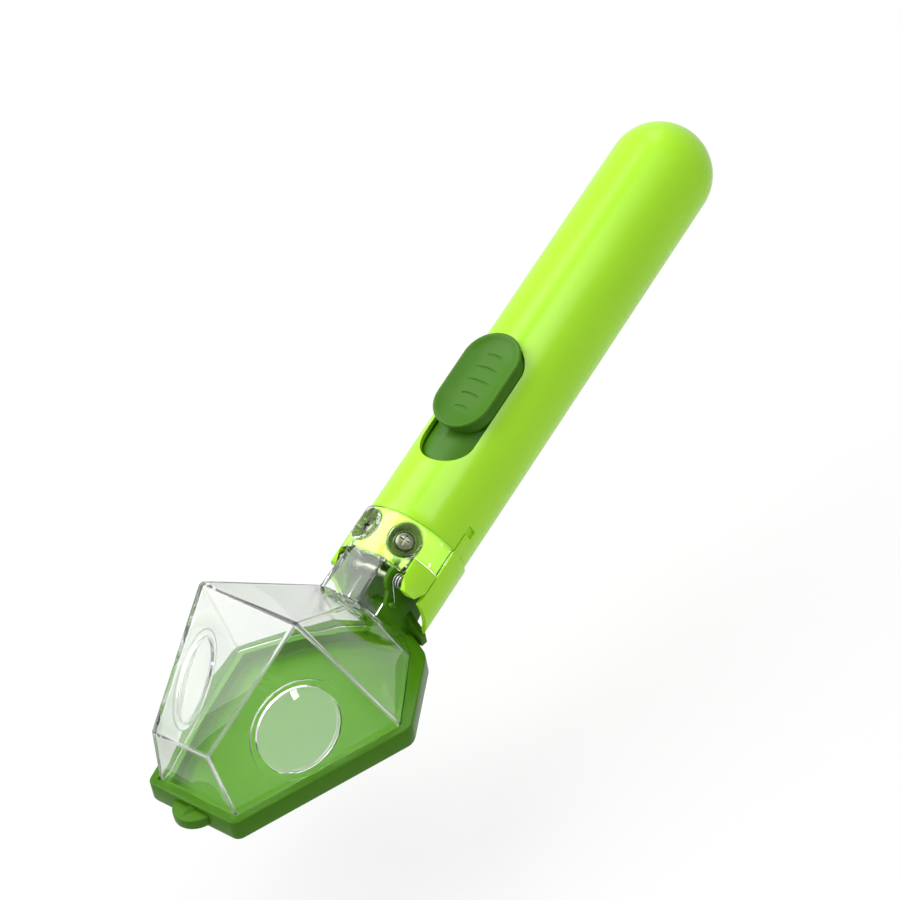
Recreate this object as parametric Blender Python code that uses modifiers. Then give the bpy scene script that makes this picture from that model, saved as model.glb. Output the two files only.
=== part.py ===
"""Long-handled spider catcher: a clear faceted chamber shut by a green tray.

The thumb slider in the handle drives the tray through a cam slot: pushing the
button forward swings the tray down from the chamber, and a torsion spring on
the hinge pin shuts it again. The chamber's bottom edge is the plane z = 0 of
the chamber frame. The handle frame has its y axis along the tube and is tilted
over the chamber frame.
"""
import math

import bmesh
import bpy
from mathutils import Matrix, Vector

MM = 0.001

# Where the two frames stand
HANDLE_TILT = math.radians(20.53)
AXIS_RISE = 14.32 * MM
TRAY_DEPTH = 6.2 * MM
SETBACK = 50.0 * MM

# Clearances and build values
GAP = 0.3 * MM
OVERRUN = 1.0 * MM
WELD_DISTANCE = 0.002 * MM
FINE_STEPS = 56
PLAIN_STEPS = 28
SMALL_STEPS = 16
ARC_STEP = math.radians(6.0)
CREASE_ANGLE = math.radians(35.0)

# Handle tube
TUBE_RADIUS = 16.0 * MM
TUBE_WALL = 1.6 * MM
TUBE_FRONT = 12.0 * MM
TUBE_TAIL_CENTRE = 148.2 * MM
RAIL_INNER_SHARE = 0.5875
RAIL_OUTER_SHARE = 0.8375
RAIL_THICKNESS = 1.6 * MM
RAIL_START = 23.0 * MM
RAIL_END = 92.0 * MM

# Clear saddle and the lower cover, which share one outer radius
SADDLE_STEP = 0.8 * MM
SADDLE_WALL = 1.5 * MM
SADDLE_FRONT = -3.1 * MM
SADDLE_HALF_ANGLE = math.radians(76.0)
COVER_EDGE_ANGLE = math.radians(77.3)
COVER_FRONT = -10.0 * MM
COVER_TOP_FRONT = -7.0 * MM
COVER_TIP_Z = -9.7 * MM
UNDERCUT_SIDE_DEPTH = 3.6 * MM
UNDERCUT_TOP = -5.0 * MM
UNDERCUT_REAR = 7.2 * MM
TONGUE_FROM = math.radians(79.0)
TONGUE_TO = math.radians(89.0)
TONGUE_LENGTH = 5.9 * MM
TONGUE_HEIGHT = 1.0 * MM
POCKET_DEPTH = 0.9 * MM
POCKET_LENGTH = 8.6 * MM
POCKET_MARGIN = math.radians(1.0)

# Front collar
COLLAR_WALL = 1.8 * MM
COLLAR_FRONT = -1.8 * MM
SPIGOT_WALL = 1.5 * MM
SPIGOT_LENGTH = 10.0 * MM
SPIGOT_HALF_OPENING = math.radians(70.0)
EAR_THICKNESS = 4.8 * MM
EAR_TOP = 11.6 * MM
EAR_FOOT = 4.1 * MM
EAR_FRONT = -7.0 * MM
EAR_SHOULDER = -3.5 * MM
EAR_REAR = 2.3 * MM
EAR_CLIP = 2.1 * MM
NOTCH_INNER_ROOM = 0.4 * MM
NOTCH_OUTER_ROOM = 0.5 * MM
NOTCH_REAR = 0.3 * MM
RELIEF_TOP = 9.7 * MM
RELIEF_REAR = 4.6 * MM

# Saddle screws and the wells they sit in
WELL_ANGLE = math.radians(27.0)
WELL_Y = 5.5 * MM
WELL_MOUTH_RADIUS = 5.25 * MM
WELL_FLOOR_RADIUS = 3.3 * MM
WELL_DEPTH = 2.9 * MM
WELL_FLOOR_WALL = 1.2 * MM
WELL_MOUTH_WALL = 0.405 * MM
WELL_FOOT_WALL = 0.675 * MM
BOSS_MOUTH_WALL = 0.4 * MM
BOSS_WALL = 1.2 * MM
BOSS_DEPTH = 5.8 * MM
SCREW_HEAD_RADIUS = 2.9 * MM
SCREW_HEAD_HEIGHT = 1.5 * MM
SCREW_SHANK_RADIUS = 1.1 * MM
SCREW_REACH = 4.0 * MM
SCREW_CROSS_WIDTH = 0.7 * MM
SCREW_CROSS_LENGTH = 3.2 * MM
SCREW_CROSS_DEPTH = 0.8 * MM

# Faceted chamber, corners on the right side
CHAMBER_WALL = 1.5 * MM
NOSE_HALF_WIDTH = 14.44 * MM
NOSE_Y = -88.32 * MM
NOSE_TOP_Y = -89.45 * MM
NOSE_TOP_Z = 21.13 * MM
CREST_HALF_WIDTH = 17.81 * MM
CREST_Y = -54.35 * MM
CREST_Z = 45.61 * MM
SHOULDER_HALF_WIDTH = 31.38 * MM
SHOULDER_Y = -37.22 * MM
HAUNCH_HALF_WIDTH = 15.5 * MM
HAUNCH_Y = -14.1 * MM
THROAT_HALF_WIDTH = 7.3 * MM
THROAT_Y = -8.6 * MM
THROAT_TOP_Y = -21.87 * MM
THROAT_TOP_Z = 23.71 * MM
EDGE_ROUND = 0.5 * MM

# Neck hood between the chamber and the saddle
NECK_TOP_DROP = 0.3 * MM
NECK_FOOT = 5.0 * MM
NECK_REAR = -2.1 * MM
NECK_FRONT_HALF_WIDTH = 7.25 * MM
NECK_REAR_HALF_WIDTH = 6.4 * MM
NECK_WALL = 1.5 * MM
NECK_ROUND = 0.6 * MM

# Lenses in the two side faces
LENS_Y = -64.1 * MM
LENS_Z = 15.42 * MM
LENS_RADIUS = 12.6 * MM
LENS_EDGE = 1.2 * MM
LENS_CROWN = 1.7 * MM
LENS_LEDGE = 0.6 * MM
LENS_SEAT_DEPTH = 0.7 * MM
BEZEL_RADIUS = 14.75 * MM
BEZEL_HEIGHT = 0.8 * MM

# Tray
TRAY_MARGIN = 2.7 * MM
TRAY_TUCK = 1.2 * MM
TRAY_CHAMFER = 1.3 * MM
TRAY_CORNER = 4.0 * MM
TRAY_LIP = 0.6 * MM
TRAY_FLOOR = 2.0 * MM
TRAY_LEDGE = 3.0 * MM
FLOOR_CORNER = 1.5 * MM
FLOOR_CROWN = 0.9 * MM
FLOOR_CROWN_INSET = 3.0 * MM
FLOOR_RIDGE_FRONT = -66.0 * MM
FLOOR_RIDGE_REAR = -36.0 * MM
TAB_RADIUS = 6.5 * MM
TAB_REACH = 5.0 * MM
TAB_THICKNESS = 3.2 * MM
TAB_DROP = 1.2 * MM
TAB_CREASE_HALF_WIDTH = 2.4 * MM
TAB_CREASE_HEIGHT = 1.6 * MM
TAIL_WALL_FRONT = -6.6 * MM
TAIL_WALL_REAR = -4.2 * MM
TAIL_WALL_TOP = 7.0 * MM
TAIL_TOP_HALF_WIDTH = 8.5 * MM
TAIL_FOOT_HALF_WIDTH = 12.6 * MM

# Hinge, arms and cam
HINGE_Y = -4.4 * MM
HINGE_Z = 8.8 * MM
HINGE_PIN_RADIUS = 1.5 * MM
PIN_SOCKET_DEPTH = 0.6 * MM
KNUCKLE_RADIUS = 4.0 * MM
ARM_INNER_X = 7.2 * MM
ARM_OUTER_X = 8.4 * MM
ARM_HUB_RADIUS = 2.2 * MM
ARM_LOBE_RADIUS = 2.4 * MM
ARM_FOOT_FRONT = -7.6 * MM
ARM_FOOT_REAR = -4.2 * MM
ARM_FOOT_Z = 0.2 * MM
ARM_HEEL_Y = 2.0 * MM
ARM_HEEL_Z = -8.6 * MM
DRIVE_PIN_RADIUS = 1.2 * MM
DRIVE_ARM = 12.0 * MM
DRIVE_ANGLE = math.radians(-60.0)
OPEN_ANGLE = math.radians(35.0)
TRAVEL = 10.5 * MM
CAM_STEPS = 14
CAM_WALL = 1.4 * MM
NOSE_BAR_HALF_WIDTH = 1.4 * MM
WEB_FRONT = 24.5 * MM
WEB_REAR = 38.0 * MM
WEB_EMBED = 0.7 * MM

# Return spring on the hinge pin
WIRE_RADIUS = 0.225 * MM
SPRING_EAR_ROOM = 0.8 * MM
SPRING_FIXED_ANGLE = math.radians(-12.0)
SPRING_FREE_ANGLE = math.radians(150.0)
SPRING_WHOLE_TURNS = 2
POINTS_PER_TURN = 10
FIXED_LEG = 5.0 * MM
FREE_LEG = 8.2 * MM
LUG_ALONG_LEG = 6.4 * MM
LUG_RADIUS = 0.9 * MM
LUG_OUTER_X = 10.2 * MM
LUG_PAD_RADIUS = 1.5 * MM

# Slider carriage
PLATE_WALL = 1.5 * MM
PLATE_HALF_ANGLE = math.radians(50.0)
PLATE_FRONT = 27.0 * MM
PLATE_REAR = 86.0 * MM

# Slider button
BUTTON_FRONT = 41.6 * MM
BUTTON_REAR = 73.0 * MM
STEM_HALF_WIDTH = 8.6 * MM
STOP_CLEARANCE = 0.6 * MM
STEM_SINK = 4.8 * MM
STEM_TOP_SINK = 2.0 * MM
WAIST_SINK = 0.4 * MM
WAIST_INSET = 1.2 * MM
LIP_FOOT_RISE = 1.2 * MM
LIP_FOOT_INSET = 1.6 * MM
LIP_RISE = 2.0 * MM
LIP_TOP_INSET = 1.3 * MM
DISH_RIM_INSET = 2.1 * MM
DISH_WALL_INSET = 3.1 * MM
DISH_FLOOR_INSET = 5.4 * MM
DISH_WALL_DEPTH = 0.65 * MM
DISH_DEPTH = 1.0 * MM
GRIP_LINES = 5
GRIP_PITCH = 5.2 * MM
GRIP_HALF_WIDTH = 3.0 * MM
GRIP_BOW = 0.5 * MM
GRIP_RADIUS = 0.28 * MM
GRIP_POINTS = 7
BUTTON_SCREW_INSET = 8.5 * MM
BUTTON_SCREW_HEAD_RADIUS = 2.4 * MM
BUTTON_SCREW_HEAD_HEIGHT = 1.2 * MM
BUTTON_SCREW_SHANK_RADIUS = 0.9 * MM
BUTTON_SCREW_REACH = 3.0 * MM
BUTTON_PILOT_DEPTH = 3.4 * MM

# Sizes that follow from the sizes above
TUBE_BORE = TUBE_RADIUS - TUBE_WALL
RAIL_INNER_X = TUBE_RADIUS * RAIL_INNER_SHARE
RAIL_OUTER_X = TUBE_RADIUS * RAIL_OUTER_SHARE
SADDLE_RADIUS = TUBE_RADIUS + SADDLE_STEP
SADDLE_BORE = SADDLE_RADIUS - SADDLE_WALL
COLLAR_RADIUS = SADDLE_BORE - GAP
COLLAR_BORE = COLLAR_RADIUS - COLLAR_WALL
SPIGOT_RADIUS = TUBE_BORE - GAP
PLATE_RADIUS = TUBE_BORE - GAP
PLATE_BORE = PLATE_RADIUS - PLATE_WALL
BAND_REAR = TUBE_FRONT - GAP
UNDERCUT_HALF_WIDTH = SADDLE_RADIUS - UNDERCUT_SIDE_DEPTH
EAR_INNER_X = SADDLE_RADIUS - EAR_THICKNESS
PIN_SOCKET_X = EAR_INNER_X + PIN_SOCKET_DEPTH
HINGE_PIN_HALF_LENGTH = PIN_SOCKET_X - GAP
NOTCH_INNER_X = ARM_INNER_X - NOTCH_INNER_ROOM
NOTCH_OUTER_X = ARM_OUTER_X + NOTCH_OUTER_ROOM
NECK_TOP = SADDLE_RADIUS - NECK_TOP_DROP
WELL_FLOOR = SADDLE_RADIUS - WELL_DEPTH
BOSS_END = SADDLE_RADIUS - BOSS_DEPTH
WELL_CUP_RADIUS = WELL_MOUTH_RADIUS + WELL_MOUTH_WALL
WELL_CUP_FLOOR_RADIUS = WELL_FLOOR_RADIUS + WELL_FOOT_WALL
WELL_CUP_FLOOR = WELL_FLOOR - WELL_FLOOR_WALL
SLOT_HALF_WIDTH = STEM_HALF_WIDTH + GAP
SLOT_FRONT = BUTTON_FRONT - TRAVEL - STOP_CLEARANCE
SLOT_REAR = BUTTON_REAR + STOP_CLEARANCE
SPRING_RADIUS = HINGE_PIN_RADIUS + GAP + WIRE_RADIUS
SPRING_INNER_X = ARM_OUTER_X + GAP + WIRE_RADIUS
SPRING_OUTER_X = EAR_INNER_X - SPRING_EAR_ROOM
STEM_FOOT = TUBE_RADIUS - STEM_SINK
STEM_TOP = TUBE_RADIUS - STEM_TOP_SINK
WAIST_Z = TUBE_RADIUS - WAIST_SINK
LIP_FOOT_Z = TUBE_RADIUS + LIP_FOOT_RISE
LIP_TOP_Z = TUBE_RADIUS + LIP_RISE
CAM_HALF_WIDTH = DRIVE_PIN_RADIUS + GAP

LIME = (0.42, 0.76, 0.04)
SLIDER_GREEN = (0.06, 0.24, 0.02)
TRAY_GREEN = (0.12, 0.42, 0.05)
CLEAR = (0.92, 0.95, 0.93)
STEEL = (0.62, 0.63, 0.64)


def reset_scene():
    """Remove what the scene holds and make the two collections."""
    for old in list(bpy.data.objects):
        bpy.data.objects.remove(old, do_unlink=True)
    made = []
    for name in ("spider_catcher", "cutters"):
        group = bpy.data.collections.new(name)
        bpy.context.scene.collection.children.link(group)
        made.append(group)
    return made


PARTS, CUTTERS = reset_scene()


def plastic(name, colour, roughness, metallic=0.0, clear=0.0):
    """A Principled material in the piece's own colour."""
    made = bpy.data.materials.new(name)
    made.use_nodes = True
    shader = made.node_tree.nodes["Principled BSDF"]
    shader.inputs["Base Color"].default_value = (*colour, 1.0)
    shader.inputs["Roughness"].default_value = roughness
    shader.inputs["Metallic"].default_value = metallic
    shader.inputs["Transmission Weight"].default_value = clear
    made.diffuse_color = (*colour, 1.0)
    return made


def empty(name, location, tilt=0.0, parent=None):
    """An empty that carries one of the frames."""
    made = bpy.data.objects.new(name, None)
    made.location = location
    made.rotation_euler.x = tilt
    made.parent = parent
    PARTS.objects.link(made)
    return made


def to_chamber(y, z):
    """A point of the handle frame's mirror plane, seen in the chamber frame."""
    turned = Matrix.Rotation(HANDLE_TILT, 3, "X") @ Vector((0, y, z))
    return Vector((0, turned.y, turned.z + AXIS_RISE))


def to_handle(point):
    """A point of the chamber frame, seen in the handle frame."""
    shifted = Vector(point) - Vector((0, 0, AXIS_RISE))
    return Matrix.Rotation(-HANDLE_TILT, 3, "X") @ shifted


class Frame:
    """A parent empty with the offset that its pieces' meshes are drawn at."""

    def __init__(self, parent, offset):
        self.parent = parent
        self.offset = offset

    def solid(self, name, mesh, collection=CUTTERS):
        """Link a mesh as an object of this frame, as a cutter by default."""
        made = bpy.data.objects.new(name, mesh)
        made.parent = self.parent
        made.location = self.offset
        collection.objects.link(made)
        made.hide_render = collection is CUTTERS
        if collection is CUTTERS:
            made.display_type = "WIRE"
        return made


def mesh_from(name, shape):
    """Turn a bmesh into a mesh, with its faces outward."""
    bmesh.ops.recalc_face_normals(shape, faces=shape.faces)
    if shape.calc_volume(signed=True) < 0:
        bmesh.ops.reverse_faces(shape, faces=shape.faces)
    made = bpy.data.meshes.new(name)
    shape.to_mesh(made)
    shape.free()
    return made


def baked(name, source):
    """The evaluated mesh of a temporary object, which is removed."""
    bpy.context.scene.collection.objects.link(source)
    graph = bpy.context.evaluated_depsgraph_get()
    made = bpy.data.meshes.new_from_object(source.evaluated_get(graph))
    bpy.data.objects.remove(source, do_unlink=True)
    shape = bmesh.new()
    shape.from_mesh(made)
    bmesh.ops.remove_doubles(shape, verts=shape.verts, dist=WELD_DISTANCE)
    bpy.data.meshes.remove(made)
    return mesh_from(name, shape)


def box(name, low, high):
    """A box between two opposite corners."""
    shape = bmesh.new()
    bmesh.ops.create_cube(shape, size=1)
    low, high = Vector(low), Vector(high)
    bmesh.ops.scale(shape, vec=high - low, verts=shape.verts)
    bmesh.ops.translate(shape, vec=(low + high) / 2, verts=shape.verts)
    return mesh_from(name, shape)


def cone(name, start, end, start_radius, end_radius, steps=PLAIN_STEPS):
    """A cone frustum between two points, or a cylinder when the radii agree."""
    start, end = Vector(start), Vector(end)
    run = end - start
    shape = bmesh.new()
    bmesh.ops.create_cone(shape, cap_ends=True, segments=steps, radius1=start_radius,
                          radius2=end_radius, depth=run.length)
    turn = run.to_track_quat("Z", "Y").to_matrix().to_4x4()
    shape.transform(Matrix.Translation((start + end) / 2) @ turn)
    return mesh_from(name, shape)


def rod(name, x_from, x_to, y, z, radius, steps=PLAIN_STEPS):
    """A cylinder along x."""
    return cone(name, (x_from, y, z), (x_to, y, z), radius, radius, steps)


PRISM_TURNS = {
    "X": Matrix(((0, 0, 1), (1, 0, 0), (0, 1, 0))),
    "Y": Matrix(((1, 0, 0), (0, 0, -1), (0, 1, 0))),
    "Z": Matrix.Identity(3),
}


def prism(name, outline, axis, low, high):
    """A flat outline, filled and extruded from low to high along an axis.

    The outline's two numbers are (y, z) for X, (x, z) for Y and (x, y) for Z.
    """
    curve = bpy.data.curves.new(name, "CURVE")
    curve.dimensions = "2D"
    curve.fill_mode = "BOTH"
    curve.extrude = (high - low) / 2
    spline = curve.splines.new("POLY")
    spline.points.add(len(outline) - 1)
    for point, place in zip(spline.points, outline):
        point.co = (place[0], place[1], 0, 1)
    spline.use_cyclic_u = True
    made = baked(name, bpy.data.objects.new(name, curve))
    bpy.data.curves.remove(curve)
    middle = (low + high) / 2
    shift = {"X": (middle, 0, 0), "Y": (0, middle, 0), "Z": (0, 0, middle)}[axis]
    made.transform(Matrix.Translation(shift) @ PRISM_TURNS[axis].to_4x4())
    return made


def turned(name, profile, matrix, closed=False, steps=FINE_STEPS):
    """A profile of (radius, height) points, turned about its axis."""
    made = bpy.data.meshes.new(name)
    count = len(profile)
    edges = [(i, i + 1) for i in range(count - 1)]
    if closed:
        edges.append((count - 1, 0))
    made.from_pydata([(radius, 0, height) for radius, height in profile], edges, [])
    source = bpy.data.objects.new(name, made)
    screw = source.modifiers.new("Turn", "SCREW")
    screw.steps = steps
    screw.render_steps = steps
    screw.use_merge_vertices = True
    screw.merge_threshold = WELD_DISTANCE
    result = baked(name, source)
    result.transform(matrix)
    return result


ALONG_HANDLE = Matrix.Rotation(-math.pi / 2, 4, "X")


def hull(name, points):
    """The convex solid over a set of points, with its flat faces whole."""
    shape = bmesh.new()
    for point in points:
        shape.verts.new(point)
    grown = bmesh.ops.convex_hull(shape, input=shape.verts)
    loose = [item for item in grown["geom_interior"] if isinstance(item, bmesh.types.BMVert)]
    bmesh.ops.delete(shape, geom=loose, context="VERTS")
    bmesh.ops.dissolve_limit(shape, angle_limit=math.radians(0.2), verts=shape.verts,
                             edges=shape.edges)
    return mesh_from(name, shape)


def sunk_copy(name, mesh, depth, floor_drop):
    """The convex solid inside another, sunk by a depth from every face.

    The face that looks straight down moves outward by floor_drop instead.
    """
    shape = bmesh.new()
    shape.from_mesh(mesh)
    planes = [(face.normal.copy(), face.calc_center_median()) for face in shape.faces]
    bmesh.ops.scale(shape, vec=Vector((2, 2, 2)), verts=shape.verts)
    low = Vector(min(v.co[i] for v in shape.verts) for i in range(3))
    high = Vector(max(v.co[i] for v in shape.verts) for i in range(3))
    shape.free()
    shape = bmesh.new()
    bmesh.ops.create_cube(shape, size=1)
    bmesh.ops.scale(shape, vec=(high - low) * 2, verts=shape.verts)
    floor_normal = Matrix.Rotation(-HANDLE_TILT, 3, "X") @ Vector((0, 0, -1))
    for normal, centre in planes:
        is_floor = normal.dot(floor_normal) > math.cos(CREASE_ANGLE / 10)
        sink = -floor_drop if is_floor else depth
        geometry = shape.verts[:] + shape.edges[:] + shape.faces[:]
        cut = bmesh.ops.bisect_plane(shape, geom=geometry, plane_co=centre - normal * sink,
                                     plane_no=normal, clear_outer=True, dist=WELD_DISTANCE)
        rim = [item for item in cut["geom_cut"] if isinstance(item, bmesh.types.BMEdge)]
        bmesh.ops.holes_fill(shape, edges=rim, sides=0)
    return mesh_from(name, shape)


def loft(name, sections):
    """A skin over closed sections of equal point counts, capped at both ends."""
    shape = bmesh.new()
    rings = [[shape.verts.new(point) for point in section] for section in sections]
    for lower, upper in zip(rings, rings[1:]):
        for i in range(len(lower)):
            after = (i + 1) % len(lower)
            shape.faces.new((lower[i], lower[after], upper[after], upper[i]))
    shape.faces.new(list(reversed(rings[0])))
    shape.faces.new(rings[-1])
    return mesh_from(name, shape)


def arc(centre, radius, start, end, step=ARC_STEP):
    """Points of a circle from one angle to another, both ends included."""
    count = max(2, math.ceil(abs(end - start) / step))
    angles = [start + (end - start) * i / count for i in range(count + 1)]
    return [(centre[0] + radius * math.cos(a), centre[1] + radius * math.sin(a)) for a in angles]


def band(name, inner, outer, start, end, low, high):
    """A ring sector along y, its angles counted from the top towards +x."""
    outer_arc = arc((0, 0), outer, math.pi / 2 - start, math.pi / 2 - end)
    inner_arc = arc((0, 0), inner, math.pi / 2 - end, math.pi / 2 - start)
    return prism(name, outer_arc + inner_arc, "Y", low, high)


def offset_outline(corners, distance):
    """A convex outline, counter-clockwise, moved outward by a distance."""
    moved = []
    count = len(corners)
    for i in range(count):
        before, here, after = corners[i - 1], corners[i], corners[(i + 1) % count]
        first = Vector((here[0] - before[0], here[1] - before[1])).normalized()
        second = Vector((after[0] - here[0], after[1] - here[1])).normalized()
        out = Vector((first.y + second.y, -first.x - second.x))
        reach = distance / (1 + first.dot(second))
        moved.append((here[0] + out.x * reach, here[1] + out.y * reach))
    return moved


def rounded_outline(corners, radius, steps=4):
    """A convex outline with each corner rounded to a radius."""
    made = []
    count = len(corners)
    for i in range(count):
        before, here, after = (Vector(corners[j % count]) for j in (i - 1, i, i + 1))
        first = (here - before).normalized()
        second = (after - here).normalized()
        turn = first.angle(second)
        normal = Vector((-first.y, first.x))
        start = here - first * radius * math.tan(turn / 2)
        centre = start + normal * radius
        base = math.atan2(-normal.y, -normal.x)
        made += [(centre.x + radius * math.cos(base + turn * k / steps),
                  centre.y + radius * math.sin(base + turn * k / steps))
                 for k in range(steps + 1)]
    return made


def obround(half_width, front, rear, step=ARC_STEP * 2):
    """A slot outline along y with round ends, counter-clockwise."""
    rear_end = arc((0, rear - half_width), half_width, 0, math.pi, step)
    front_end = arc((0, front + half_width), half_width, math.pi, 2 * math.pi, step)
    return rear_end + front_end


def convex_outline(points):
    """The convex hull of flat points, counter-clockwise."""
    ordered = sorted(set(points))

    def chain(places):
        kept = []
        for place in places:
            while len(kept) > 1:
                a, b = kept[-2], kept[-1]
                if (b[0] - a[0]) * (place[1] - a[1]) > (b[1] - a[1]) * (place[0] - a[0]):
                    break
                kept.pop()
            kept.append(place)
        return kept[:-1]

    return chain(ordered) + chain(reversed(ordered))


def circle(centre, radius):
    """The points of a whole circle."""
    return arc(centre, radius, 0, 2 * math.pi, ARC_STEP * 3)[:-1]


def swept_outline(path, half_width):
    """The outline of a round-ended slot that follows a path."""
    def heading(i):
        a, b = path[max(i - 1, 0)], path[min(i + 1, len(path) - 1)]
        return math.atan2(b[1] - a[1], b[0] - a[0])

    def side(sign):
        turns = [heading(i) + sign * math.pi / 2 for i in range(len(path))]
        return [(p[0] + half_width * math.cos(a), p[1] + half_width * math.sin(a))
                for p, a in zip(path, turns)]

    last, first = heading(len(path) - 1), heading(0)
    far_end = arc(path[-1], half_width, last - math.pi / 2, last + math.pi / 2, ARC_STEP * 4)
    near_end = arc(path[0], half_width, first + math.pi / 2, first + math.pi * 1.5, ARC_STEP * 4)
    return side(-1)[:-1] + far_end + list(reversed(side(1)))[1:-1] + near_end[:-1]


def boolean(target, frame, mesh, operation):
    """Join or cut a target with a mesh drawn in its own frame."""
    tool = frame.solid(mesh.name + "_tool", mesh)
    modifier = target.modifiers.new(mesh.name, "BOOLEAN")
    modifier.operation = operation
    modifier.solver = "EXACT"
    modifier.object = tool


def add(target, frame, *meshes):
    """Unite a target with solids."""
    for mesh in meshes:
        boolean(target, frame, mesh, "UNION")


def cut(target, frame, *meshes):
    """Cut solids from a target."""
    for mesh in meshes:
        boolean(target, frame, mesh, "DIFFERENCE")


def finish(piece, material):
    """Give a piece its material and smooth its round faces."""
    piece.data.materials.append(material)
    piece.data.shade_smooth()
    piece.data.set_sharp_from_angle(angle=CREASE_ANGLE)


def handle_tube(frame, material):
    """The hollow grip with its round tail, slider slot and inner rails."""
    tail, front = TUBE_TAIL_CENTRE, TUBE_FRONT
    outside = arc((0, tail), TUBE_RADIUS, math.pi / 2, 0, ARC_STEP * 1.5)
    inside = arc((0, tail), TUBE_BORE, 0, math.pi / 2, ARC_STEP * 2.5)
    profile = outside + [(TUBE_RADIUS, front), (TUBE_BORE, front)] + inside
    profile[0] = (0, profile[0][1])
    profile[-1] = (0, profile[-1][1])
    piece = frame.solid("handle_tube", turned("tube", profile, ALONG_HANDLE), PARTS)
    rail_top = PLATE_BORE * math.cos(PLATE_HALF_ANGLE) - GAP
    for side in (-1, 1):
        inner, outer = sorted((side * RAIL_INNER_X, side * RAIL_OUTER_X))
        add(piece, frame, box("rail", (inner, RAIL_START, rail_top - RAIL_THICKNESS),
                              (outer, RAIL_END, rail_top)))
        edges = sorted((side * (TONGUE_FROM - POCKET_MARGIN), side * (TONGUE_TO + POCKET_MARGIN)))
        cut(piece, frame, band("pocket", TUBE_RADIUS - POCKET_DEPTH, SADDLE_RADIUS + OVERRUN,
                               *edges, front - OVERRUN, front + POCKET_LENGTH))
    slot = obround(SLOT_HALF_WIDTH, SLOT_FRONT, SLOT_REAR)
    cut(piece, frame, prism("slot", slot, "Z", 0, TUBE_RADIUS + OVERRUN))
    finish(piece, material)
    return piece


def radial(angle, radius, y=WELL_Y):
    """A point on a spoke of the handle frame."""
    return Vector((radius * math.sin(angle), y, radius * math.cos(angle)))


def spoke_cone(name, angle, from_radius, to_radius, wide, narrow, steps=PLAIN_STEPS):
    """A cone along a spoke, from the outer radius inward."""
    return cone(name, radial(angle, from_radius), radial(angle, to_radius), wide, narrow, steps)


def undercut(name):
    """The space below the neck that the tray's tail swings through."""
    low = (-UNDERCUT_HALF_WIDTH, COVER_FRONT - OVERRUN, -SADDLE_RADIUS - OVERRUN)
    return box(name, low, (UNDERCUT_HALF_WIDTH, UNDERCUT_REAR, UNDERCUT_TOP))


def ear(frame, side):
    """One hinge ear: a clipped plate trimmed to the saddle's round."""
    outline = [(EAR_REAR, EAR_FOOT), (EAR_REAR, EAR_TOP), (EAR_SHOULDER, EAR_TOP),
               (EAR_FRONT, EAR_TOP - EAR_CLIP), (EAR_FRONT, EAR_FOOT + EAR_CLIP),
               (EAR_SHOULDER, EAR_FOOT)]
    edges = sorted((side * EAR_INNER_X, side * (SADDLE_RADIUS + OVERRUN)))
    plate = frame.solid("ear_plate", prism("ear", outline, "X", *edges))
    rounding = cone("ear_round", (0, EAR_FRONT - OVERRUN, 0), (0, EAR_REAR + OVERRUN, 0),
                    SADDLE_RADIUS, SADDLE_RADIUS, FINE_STEPS)
    boolean(plate, frame, rounding, "INTERSECT")
    return plate


def front_collar(frame, material):
    """The inner collar that carries the saddle screws and the hinge pin."""
    profile = [(COLLAR_RADIUS, BAND_REAR), (COLLAR_RADIUS, COLLAR_FRONT),
               (COLLAR_BORE, COLLAR_FRONT), (COLLAR_BORE, BAND_REAR)]
    piece = frame.solid("front_collar", turned("ring", profile, ALONG_HANDLE, closed=True), PARTS)
    opening = SPIGOT_HALF_OPENING
    add(piece, frame, band("spigot", SPIGOT_RADIUS - SPIGOT_WALL, SPIGOT_RADIUS, opening,
                           2 * math.pi - opening, BAND_REAR - OVERRUN,
                           TUBE_FRONT + SPIGOT_LENGTH))
    for side in (-1, 1):
        add(piece, frame, spoke_cone("boss", side * WELL_ANGLE, COLLAR_BORE, BOSS_END,
                                     WELL_CUP_RADIUS + GAP + BOSS_MOUTH_WALL,
                                     WELL_CUP_FLOOR_RADIUS + GAP + BOSS_WALL))
    cut(piece, frame, undercut("collar_undercut"))
    for side in (-1, 1):
        plate = ear(frame, side)
        joint = piece.modifiers.new("ear", "BOOLEAN")
        joint.operation = "UNION"
        joint.solver = "EXACT"
        joint.object = plate
        angle = side * WELL_ANGLE
        cut(piece, frame,
            spoke_cone("cup_pocket", angle, SADDLE_BORE, WELL_CUP_FLOOR - GAP,
                       WELL_CUP_RADIUS + GAP, WELL_CUP_FLOOR_RADIUS + GAP),
            spoke_cone("screw_hole", angle, SADDLE_RADIUS, BOSS_END - OVERRUN,
                       SCREW_SHANK_RADIUS + GAP, SCREW_SHANK_RADIUS + GAP, SMALL_STEPS),
            rod("pin_socket", side * (EAR_INNER_X - OVERRUN), side * PIN_SOCKET_X,
                HINGE_Y, HINGE_Z, HINGE_PIN_RADIUS + GAP, SMALL_STEPS))
        inner, outer = sorted((side * NOTCH_INNER_X, side * NOTCH_OUTER_X))
        cut(piece, frame,
            box("knuckle_notch", (inner, COLLAR_FRONT - OVERRUN, 0),
                (outer, NOTCH_REAR, SADDLE_RADIUS)),
            box("arm_relief", (inner, COLLAR_FRONT - OVERRUN, 0),
                (outer, RELIEF_REAR, RELIEF_TOP)))
    finish(piece, material)
    return piece


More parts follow.
